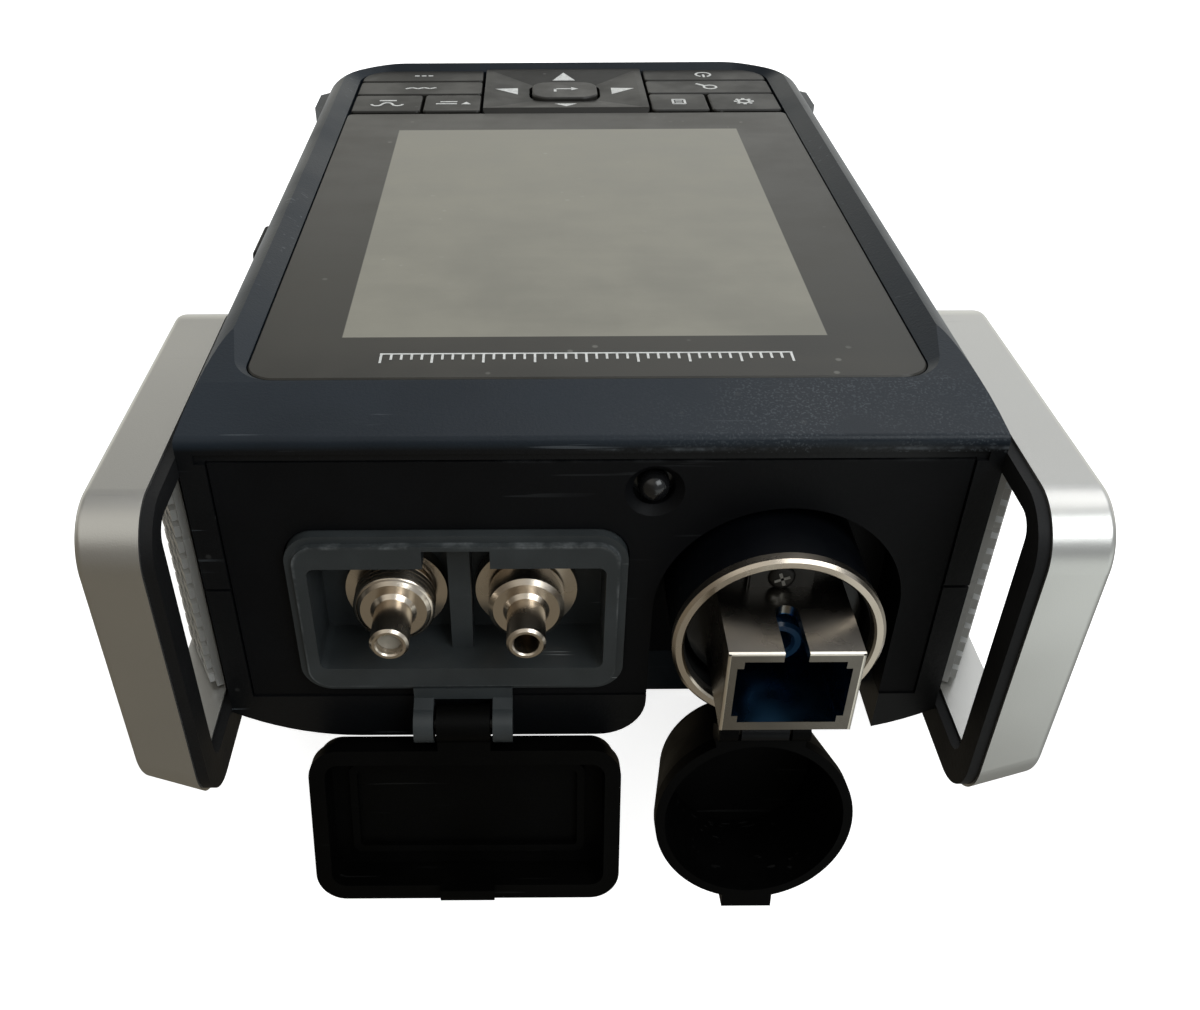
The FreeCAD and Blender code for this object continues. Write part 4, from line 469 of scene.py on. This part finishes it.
BLACK_RUBBER = moulded_plastic("black_rubber", (0.0042, 0.0044, 0.0050), (0.03, 0.03, 0.03), 0.62,
                               grain=2200.0, relief=0.00004, smear=70.0, scratches=0.4, gloss=0.25)
CAP_PLASTIC = moulded_plastic("cap_plastic", (0.0010, 0.0010, 0.0010), (0.03, 0.03, 0.03), 0.50,
                              relief=0.00001, smear=140.0, scratches=0.5, gloss=0.05)
TORCH_LENS = moulded_plastic("torch_lens", (0.0060, 0.0060, 0.0065), (0.02, 0.02, 0.02), 0.12,
                             relief=0.000003, smear=140.0, scratches=0.2, gloss=0.5)
BLUE_PLASTIC = moulded_plastic("blue_plastic", (0.008, 0.030, 0.070), (0.03, 0.08, 0.15), 0.25,
                               relief=0.000005, smear=200.0, scratches=0.3, gloss=0.4)
KEY_PLASTIC = moulded_plastic("key_plastic", (0.0090, 0.0085, 0.0070), (0.10, 0.10, 0.10), 0.42,
                              grain=3400.0, relief=0.00001, smear=110.0, scratches=0.4, dust=0.3)
ENTER_PLASTIC = moulded_plastic("enter_plastic", (0.0240, 0.0230, 0.0210), (0.12, 0.12, 0.12), 0.40,
                                grain=3400.0, relief=0.00001, smear=140.0, scratches=0.4)
PLATE_METAL = plated("plate_metal", (0.055, 0.055, 0.055), 0.36, 0.6)
SILVER = satin_silver("guard_silver", (0.585, 0.578, 0.555), 0.95, 0.34)
# Painted shade on the floor between the grip's studs.
GRIP = satin_silver("grip_silver", (0.80, 0.80, 0.78), 0.15, 0.30, shade_between_studs)
NICKEL = plated("nickel", (0.64, 0.565, 0.475), 0.20, 0.30, turned=True)
# Painted shade: the square port takes a darker copy of nickel, standing for the dark reflection on its face.
SHADED_NICKEL = plated("nickel_painted_shade", (0.23, 0.212, 0.186), 0.22, 0.6, lined=mouth_lining)
# Painted highlight: a paler copy of nickel for the strips along the square port's edges.
HIGHLIGHT_NICKEL = plated("nickel_painted_highlight", (0.86, 0.80, 0.70), 0.30, 0.2)
STEEL = plated("steel", (0.45, 0.45, 0.43), 0.30, 0.4)
DARK_STEEL = plated("dark_steel", (0.045, 0.044, 0.042), 0.42, 0.4)
BRONZE = plated("sleeve_bronze", (0.50, 0.36, 0.20), 0.25, 0.5, turned=True)
WINDOW = printed_window("window_glass")
LCD = moulded_plastic("lcd", (0.20, 0.20, 0.18), (0.3, 0.3, 0.3), 0.3, relief=0.000005)
BOARD = circuit_board("circuit_board")
LENS = clear_plastic("lens_plastic", (0.75, 0.70, 0.60), 0.12)
CLEAR = clear_plastic("clear_plastic", (0.85, 0.88, 0.90), 0.05)
CAN = plated("module_can", (0.60, 0.61, 0.63), 0.3, 0.3)
CELL = moulded_plastic("cell_can", (0.02, 0.09, 0.28), (0.3, 0.3, 0.35), 0.3, relief=0.000005)
WHITE_INK = printed_ink("white_ink", (0.66, 0.67, 0.66))
# Painted shading: the grey of the flat screw crosses stands for the light and shade of their recesses.
RECESS_SHADING = plated("screw_recess_painted_shading", (0.30, 0.30, 0.29), 0.4, 0.5)

FINISH = {
    "case_plastic": DARK_CASE, "panel_plastic": END_PANEL, "frame_plastic": PORT_FRAME,
    "window_glass": WINDOW, "lcd": LCD, "black_rubber": BLACK_RUBBER, "circuit_board": BOARD,
    "steel": STEEL, "nickel": NICKEL, "sleeve_bronze": BRONZE, "lens_plastic": LENS,
    "collar_plastic": COLLAR_PLASTIC, "plate_metal": PLATE_METAL, "lid_plastic": LID_PLASTIC,
    "clear_plastic": CLEAR, "guard_silver": SILVER, "module_can": CAN, "cell_can": CELL,
    "key_plastic": KEY_PLASTIC, "enter_plastic": ENTER_PLASTIC,
}
SLOT_OF = {part["node"]: part["material_slot"] for part in record["subparts"]}
OWN_FINISH = {"sc_adapter": SHADED_NICKEL, "guard_grip_left": GRIP, "guard_grip_right": GRIP,
              "lid_pin": DARK_STEEL, "cap_pin": DARK_STEEL, "sc_sleeve": BLUE_PLASTIC,
              "torch_led": TORCH_LENS, "round_cap": CAP_PLASTIC}


def dress_nodes():
    """Each CAD node takes the finish of its material slot."""
    for name, item in nodes.items():
        finish = OWN_FINISH.get(name) or FINISH[SLOT_OF[name]]
        item.data.materials.clear()
        item.data.materials.append(finish)


dress_nodes()


# ---------------------------------------------------------------- printed marks

INK = 0.00003


def bar(x, y, wide, tall, turn=0.0):
    """A bar with its middle at (x, y), turned about it."""
    spin = Matrix.Rotation(turn, 2)
    corners = [Vector((sx * wide / 2, sy * tall / 2)) for sx, sy in ((-1, -1), (1, -1), (1, 1), (-1, 1))]
    return [tuple(Vector((x, y)) + spin @ corner) for corner in corners]


def arrow(x, y, wide, tall, turn=0.0):
    """A triangle that points to +y, turned about the middle of its height."""
    spin = Matrix.Rotation(turn, 2)
    corners = [Vector(c) for c in ((-wide / 2, -tall / 2), (wide / 2, -tall / 2), (0, tall / 2))]
    return [tuple(Vector((x, y)) + spin @ corner) for corner in corners]


def arcs(x, y, radius, thick, start=0.0, sweep=math.tau, steps=28):
    """An arc of a ring, as short flat pieces that touch."""
    pieces = []
    for i in range(steps):
        a, b = (start + sweep * (i + k) / steps for k in (0, 1))
        pieces.append([(x + r * math.cos(t), y + r * math.sin(t))
                       for r, t in ((radius, a), (radius, b), (radius - thick, b), (radius - thick, a))])
    return pieces


def print_marks(name, body, shapes, height):
    """Thin ink on a surface; height gives the surface's level at a point, all in metres."""
    mesh = bpy.data.meshes.new(name)
    form = bmesh.new()
    for shape in shapes:
        top = [form.verts.new((x, y, height(x, y) + INK)) for x, y in shape]
        foot = [form.verts.new((x, y, height(x, y) - INK)) for x, y in shape]
        form.faces.new(top)
        for i in range(len(shape)):
            k = (i + 1) % len(shape)
            form.faces.new((top[i], foot[i], foot[k], top[k]))
    bmesh.ops.recalc_face_normals(form, faces=form.faces)
    form.to_mesh(mesh)
    form.free()
    return add_piece(name, mesh, body, WHITE_INK)


def add_piece(name, mesh, body, material):
    piece = bpy.data.objects.new(name, mesh)
    scene.collection.objects.link(piece)
    mesh.materials.append(material)
    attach(piece, body)
    return piece


def mark_key(node, shapes):
    """Print shapes on a key. They are in mm, and read from the keypad end."""
    low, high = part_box(node)
    middle = (low + high) / 2
    placed = [[(middle.x - u * MM, middle.y - v * MM) for u, v in shape] for shape in shapes]
    print_marks(f"{node}_mark", node, placed, lambda x, y: high.z)


def mark_keypad():
    """Plain signs: dashes, a trace, a marker, a page, a cog, a magnifier and a power sign."""
    mark_key("key_left_far", [bar(u, 0, 0.75, 0.45) for u in (-1.1, 0, 1.1)])
    mark_key("key_left_mid", [bar(u, v, 1.1, 0.4, t) for u, v, t in
                              ((-1.9, 0.1, 0.5), (-0.95, 0.1, -0.5), (0, 0.1, 0.5), (0.95, 0.1, -0.5),
                               (1.9, 0.1, 0.5))])
    waves = [piece for i, u in enumerate((-1.6, 0, 1.6))
             for piece in arcs(u, 0.6, 0.95, 0.4, math.pi * (i % 2), math.pi, 10)]
    mark_key("key_left_near_outer", waves + [bar(0, -1.2, 2.6, 0.5)])
    mark_key("key_left_near_inner", [arrow(-2.1, 0.2, 1.5, 1.2, math.pi), bar(0.9, 0.5, 3.2, 0.4),
                                     bar(0.6, -0.5, 2.6, 0.4)])
    page = [bar(0, 1.1, 2.0, 0.35), bar(0, -1.1, 2.0, 0.35), bar(-0.9, 0, 0.35, 2.2), bar(0.9, 0, 0.35, 2.2)]
    mark_key("key_right_near_inner", page + [bar(0, 0.35, 1.0, 0.28), bar(0, -0.35, 1.0, 0.28)])
    cog = [bar(1.25 * math.cos(t), 1.25 * math.sin(t), 0.55, 0.5, t)
           for t in (math.tau * i / 8 for i in range(8))]
    mark_key("key_right_near_outer", cog + arcs(0, 0, 1.05, 0.4))
    mark_key("key_right_mid", arcs(-0.3, 0.25, 1.15, 0.36) + [bar(1.15, -1.05, 1.6, 0.5, -0.75)])
    mark_key("key_right_far", arcs(0, 0, 1.35, 0.36, math.pi * 0.64, math.pi * 1.72)
             + [bar(0, 0.75, 0.36, 1.5)])
    mark_key("enter_key", [bar(0.3, -0.3, 2.8, 0.42), arrow(-1.6, -0.3, 1.5, 1.1, math.pi / 2),
                           bar(1.5, 0.35, 0.42, 1.6)])


def mark_direction_pad():
    """An arrowhead on each of the four facets, which fall towards the middle key."""
    low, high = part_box("direction_pad")
    enter_low, enter_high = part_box("enter_key")
    middle = (low + high) / 2
    rim, dish = 0.9 * MM, 0.8 * MM
    outer = Vector(((high.x - low.x) / 2 - rim, (high.y - low.y) / 2 - rim))
    key_gap = Vector((0.55, 0.55)) * MM
    inner = Vector(((enter_high.x - enter_low.x) / 2, (enter_high.y - enter_low.y) / 2)) - key_gap

    def level(x, y):
        out = max((abs(x - middle.x) - inner.x) / (outer.x - inner.x),
                  (abs(y - middle.y) - inner.y) / (outer.y - inner.y))
        return high.z - dish * (1 - min(max(out, 0.0), 1.0))

    across, along = outer.x - 2.5 * MM, outer.y - 2.4 * MM
    heads = [arrow(middle.x + sx * across, middle.y, 3.3 * MM, 3.5 * MM, -math.pi / 2 * sx) for sx in (-1, 1)]
    heads.append(arrow(middle.x, middle.y + along, 3.6 * MM, 3.0 * MM))
    heads.append(arrow(middle.x, middle.y - along - 0.5 * MM, 3.4 * MM, 2.3 * MM, math.pi))
    print_marks("pad_arrows", "direction_pad", heads, level)


def mark_window():
    """A plain ruled scale on the glass below the display."""
    low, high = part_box("display_glass")
    start, pitch = low.y + 4.7 * MM, 1.0 * MM
    ticks = []
    for i in range(-20, 21):
        tall = (1.7 if i % 5 == 0 else 1.05) * MM
        ticks.append(bar(i * pitch, start - tall / 2, 0.24 * MM, tall))
    ticks.append(bar(0, start + 0.12 * MM, 40.3 * pitch, 0.22 * MM))
    print_marks("window_scale", "case", ticks, lambda x, y: high.z)


# ---------------------------------------------------------------- small turned and cut details

def lathe(name, profile, middle, body, material, steps=56):
    """Turn a profile of (radius, y) about a line along Y through the middle."""
    verts, faces = [], []
    count = len(profile)
    for i in range(steps):
        turn = math.tau * i / steps
        for radius, y in profile:
            verts.append((middle.x + radius * math.cos(turn), y, middle.z + radius * math.sin(turn)))
    for i in range(steps):
        for k in range(count - 1):
            a, b = i * count + k, (i + 1) % steps * count + k
            faces.append((a, a + 1, b + 1, b))
    mesh = bpy.data.meshes.new(name)
    mesh.from_pydata(verts, [], faces)
    mesh.update()
    for face in mesh.polygons:
        face.use_smooth = True
    return add_piece(name, mesh, body, material)


def cut_threads():
    """The coupling thread on the collar of the left-hand round adapter."""
    low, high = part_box("threaded_adapter")
    middle = (low + high) / 2
    root, crest, pitch = 3.86 * MM, 4.12 * MM, 0.62 * MM
    start = low.y + 5.35 * MM
    profile = [(root - 0.1 * MM, start)]
    for i in range(4):
        y = start + i * pitch
        profile += [(root, y + 0.05 * MM), (crest, y + 0.22 * MM)]
        profile += [(crest, y + 0.32 * MM), (root, y + 0.5 * MM)]
    profile.append((root - 0.1 * MM, start + 4 * pitch))
    lathe("adapter_thread", profile, middle, "case", NICKEL)


def cross_recess(name, where, facing, size, body):
    """The cross in a screw head: two crossed slots, drawn as flat inlays just proud of the head, whose grey
    paints the light and shade of the recess.
    """
    turn = Vector(facing).to_track_quat("Z", "Y").to_matrix().to_4x4()
    form = bmesh.new()
    for shape in (bar(0, 0, size, size * 0.2), bar(0, 0, size * 0.2, size)):
        top = [form.verts.new((x, y, INK)) for x, y in shape]
        foot = [form.verts.new((x, y, -INK)) for x, y in shape]
        form.faces.new(top)
        for i in range(4):
            k = (i + 1) % 4
            form.faces.new((top[i], foot[i], foot[k], top[k]))
    bmesh.ops.recalc_face_normals(form, faces=form.faces)
    form.transform(Matrix.Translation(where) @ turn @ Matrix.Rotation(0.35, 4, "Z"))
    mesh = bpy.data.meshes.new(name)
    form.to_mesh(mesh)
    form.free()
    return add_piece(name, mesh, body, RECESS_SHADING)


def cut_crosses():
    """The crosses in the four case screws, on the underside."""
    low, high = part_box("case_screws")
    reach = 1.9 * MM
    for i, (x, y) in enumerate((x, y) for x in (low.x + reach, high.x - reach)
                               for y in (low.y + reach, high.y - reach)):
        cross_recess(f"case_screw_{i}_cross", (x, y, low.z), (0, 0, -1), reach * 1.1, "case")


SQUARE_LOW, SQUARE_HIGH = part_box("sc_adapter")
RING_LOW, RING_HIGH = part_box("sc_trim_ring")
RING_MIDDLE = (RING_LOW + RING_HIGH) / 2
SQUARE_HALF = Vector(((SQUARE_HIGH.x - SQUARE_LOW.x) / 2, SQUARE_TALL / 2))


def floor_collar():
    """The black floor inside the ring, close behind its front and cut out for the square port."""
    floor_front, floor_back, reach = 2.4 * MM, 3.0 * MM, 8.75 * MM
    bevel, spokes = 0.35 * MM, 72
    front, back = RING_HIGH.y + floor_front, RING_HIGH.y + floor_back
    form = bmesh.new()
    rings = []
    for i in range(spokes):
        turn = math.tau * i / spokes
        c, s = math.cos(turn), math.sin(turn)
        out = min(SQUARE_HALF.x / max(abs(c), 1e-6), SQUARE_HALF.y / max(abs(s), 1e-6))
        spots = ((reach, back), (reach, front + bevel), (reach - bevel, front),
                 (out, front), (out, back))
        rings.append([form.verts.new((RING_MIDDLE.x + r * c, y, RING_MIDDLE.z + r * s)) for r, y in spots])
    for i, ring in enumerate(rings):
        after = rings[(i + 1) % len(rings)]
        for k in range(4):
            form.faces.new((ring[k], after[k], after[k + 1], ring[k + 1]))
    bmesh.ops.recalc_face_normals(form, faces=form.faces)
    mesh = bpy.data.meshes.new("collar_floor")
    form.to_mesh(mesh)
    form.free()
    add_piece("collar_floor", mesh, "case", COLLAR_FLOOR)


def fit_flange():
    """The square port's two ears and their screws, on the collar's floor."""
    front = RING_HIGH.y + 1.6 * MM
    for label, way in (("high", 1), ("low", -1)):
        form = bmesh.new()
        bmesh.ops.create_cube(form, size=1.0)
        near, far = SQUARE_HALF.y - 0.3 * MM, 7.5 * MM
        form.transform(Matrix.Translation((RING_MIDDLE.x, front + 0.4 * MM,
                                           RING_MIDDLE.z + way * (near + far) / 2))
                       @ Matrix.Diagonal((6.2 * MM, 0.8 * MM, far - near, 1)))
        bmesh.ops.bevel(form, geom=form.edges[:], offset=0.2 * MM, segments=2, affect="EDGES")
        mesh = bpy.data.meshes.new(f"square_ear_{label}")
        form.to_mesh(mesh)
        form.free()
        add_piece(f"square_ear_{label}", mesh, "case", PLATE_METAL)
        head = Vector((RING_MIDDLE.x, 0, RING_MIDDLE.z + way * 5.95 * MM))
        top = front - 0.38 * MM
        lathe(f"ear_screw_{label}", [(0, top), (0.85 * MM, top + 0.03 * MM), (1.22 * MM, top + 0.18 * MM),
                                     (1.32 * MM, top + 0.42 * MM)], head, "case", DARK_STEEL)
        cross_recess(f"ear_screw_{label}_cross", (head.x, top, head.z), (0, -1, 0), 1.5 * MM, "case")


def paint_edge_highlights():
    """Rounded strips along the square port's face, in a paler nickel than the face: a painted highlight along
    its edges.
    """
    y, soft, lift = SQUARE_LOW.y, 0.24 * MM, 0.02 * MM
    high, left, right = RING_MIDDLE.z + SQUARE_HALF.y, SQUARE_LOW.x, SQUARE_HIGH.x
    gap = 1.1 * MM
    for label, start, end in (("left", left, RING_MIDDLE.x - gap), ("right", RING_MIDDLE.x + gap, right)):
        verts = []
        for x in (start, end):
            verts += [(x, y - lift, high - soft), (x, y - lift, high + lift), (x, y + soft, high + lift)]
        add_highlight_strip(f"port_highlight_strip_{label}", verts)
    for label, x, way in (("west", left, -1), ("east", right, 1)):
        verts = []
        for z in (high - 2 * SQUARE_HALF.y, high):
            verts += [(x - way * soft, y - lift, z), (x + way * lift, y - lift, z),
                      (x + way * lift, y + soft, z)]
        add_highlight_strip(f"port_highlight_strip_{label}", verts)


def add_highlight_strip(name, verts):
    """One strip along an edge of the square port's face, turned to face the front, in the paler nickel of the
    painted highlight.
    """
    mesh = bpy.data.meshes.new(name)
    mesh.from_pydata(verts, [], [(0, 1, 4, 3), (1, 2, 5, 4)])
    form = bmesh.new()
    form.from_mesh(mesh)
    out = Vector((0, -1, 0))
    for face in form.faces:
        face.normal_update()
        face.smooth = True
    if sum(face.normal.dot(out) for face in form.faces) < 0:
        bmesh.ops.reverse_faces(form, faces=form.faces)
    form.to_mesh(mesh)
    form.free()
    add_piece(name, mesh, "case", HIGHLIGHT_NICKEL)


mark_keypad()
mark_direction_pad()
mark_window()
cut_threads()
cut_crosses()
floor_collar()
fit_flange()
paint_edge_highlights()


# ---------------------------------------------------------------- stage, lights and camera

def white_ground(name, glow):
    """A pale floor that reads as white, and that the part sees as the dim floor of a room."""
    material, tree, surface = new_material(name)
    tree.nodes.remove(surface)
    out = tree.nodes["Material Output"]
    matt = tree.nodes.new("ShaderNodeBsdfDiffuse")
    light = tree.nodes.new("ShaderNodeEmission")
    path = tree.nodes.new("ShaderNodeLightPath")
    x, y, _ = split(tree, place_in(tree))
    near = soft_step(tree, y, -0.158, -0.128)
    right = tint(tree, near, (0.92, 0.97, 0.95), (0.30, 0.31, 0.30))
    room = tint(tree, soft_step(tree, x, 0.015, 0.105), (0.15, 0.128, 0.092), right)
    room = tint(tree, soft_step(tree, y, 0.0, 0.12), room, (0.85, 0.88, 0.88))
    seen = maths(tree, "MAXIMUM", path.outputs["Is Camera Ray"], path.outputs["Is Transmission Ray"])
    bounce = tint(tree, path.outputs["Is Diffuse Ray"], (0.06, 0.06, 0.058), (0.42, 0.42, 0.41))
    wire(tree, tint(tree, seen, bounce, (0.8, 0.8, 0.8)), matt.inputs["Color"])
    wire(tree, tint(tree, seen, room, (glow, glow, glow)), light.inputs["Color"])
    wire(tree, maths(tree, "MAXIMUM", seen, path.outputs["Is Glossy Ray"]), light.inputs["Strength"])
    both = tree.nodes.new("ShaderNodeAddShader")
    wire(tree, matt.outputs[0], both.inputs[0])
    wire(tree, light.outputs[0], both.inputs[1])
    wire(tree, both.outputs[0], out.inputs["Surface"])
    return material


def build_stage():
    """A table whose edge lies behind the front face, so that the covers hang clear."""
    mesh = bpy.data.meshes.new("ground")
    edge, drop, radius = -0.049, -0.075, 0.004
    line = [(1.2, 0.0), (edge + radius, 0.0)]
    for i in range(1, 9):
        a = math.pi / 2 * i / 8
        line.append((edge + radius - radius * math.sin(a), -radius + radius * math.cos(a)))
    line += [(edge, drop + 0.03), (edge - 0.02, drop), (-1.5, drop)]
    half = 1.5
    verts = [(x, y, z) for y, z in line for x in (-half, half)]
    faces = [(2 * i, 2 * i + 1, 2 * i + 3, 2 * i + 2) for i in range(len(line) - 1)]
    mesh.from_pydata(verts, [], faces)
    mesh.update()
    ground = bpy.data.objects.new("ground", mesh)
    scene.collection.objects.link(ground)
    mesh.materials.append(white_ground("white_ground", 0.80))
    for face in mesh.polygons:
        face.use_smooth = True


def area_light(name, where, target, size, power, colour=(1, 1, 1)):
    data = bpy.data.lights.new(name, "AREA")
    data.shape = "RECTANGLE"
    data.size, data.size_y = size
    data.energy = power
    data.color = colour
    lamp = bpy.data.objects.new(name, data)
    scene.collection.objects.link(lamp)
    lamp.location = where
    lamp.rotation_euler = (Vector(target) - Vector(where)).to_track_quat("-Z", "Y").to_euler()
    return lamp


def build_lights():
    """A window in front to the right, a soft ceiling, and a room that is dim in front and left."""
    area_light("window_light", (0.34, -0.44, 0.50), (0, -0.02, 0.02), (0.42, 0.34), 2.1, (0.94, 0.98, 1.0))
    area_light("ceiling_light", (0.22, 0.20, 0.78), (0, 0.0, 0.02), (0.7, 0.6), 2.0)
    world = bpy.data.worlds.new("room")
    scene.world = world
    world.use_nodes = True
    tree = world.node_tree
    ground = tree.nodes["Background"]
    path = tree.nodes.new("ShaderNodeLightPath")
    x, y, z = split(tree, tree.nodes.new("ShaderNodeTexCoord").outputs["Generated"])
    across = soft_step(tree, x, -0.42, 0.42)
    front = tint(tree, soft_step(tree, z, 0.35, 0.70), (0.20, 0.18, 0.15), (0.80, 0.78, 0.72))
    front = tint(tree, across, front, (0.40, 0.42, 0.43))
    overhead = tint(tree, across, (0.29, 0.285, 0.27), (0.62, 0.65, 0.68))
    low_wall = tint(tree, across, (0.95, 0.94, 0.86), (1.08, 1.08, 1.02))
    back = tint(tree, soft_step(tree, z, 0.56, 0.24), overhead, low_wall)
    walls = tint(tree, soft_step(tree, y, -0.25, 0.45), front, back)
    wire(tree, tint(tree, path.outputs["Is Camera Ray"], walls, (1, 1, 1)), ground.inputs["Color"])
    ground.inputs["Strength"].default_value = 1.0


def build_camera():
    data = bpy.data.cameras.new("camera")
    data.sensor_width = 36.0
    data.lens = 34.9
    data.shift_x = 0.055
    data.shift_y = 0.0417
    data.clip_start = 0.005
    camera = bpy.data.objects.new("camera", data)
    scene.collection.objects.link(camera)
    tilt = Matrix.Rotation(math.radians(90 - 37.57), 4, "X")
    roll = Matrix.Rotation(math.radians(-0.3), 4, "Z")
    camera.matrix_world = Matrix.Translation((-0.0052, -0.1455, 0.0927)) @ tilt @ roll
    scene.camera = camera


build_stage()
build_lights()
build_camera()
scene.view_settings.view_transform = "Standard"
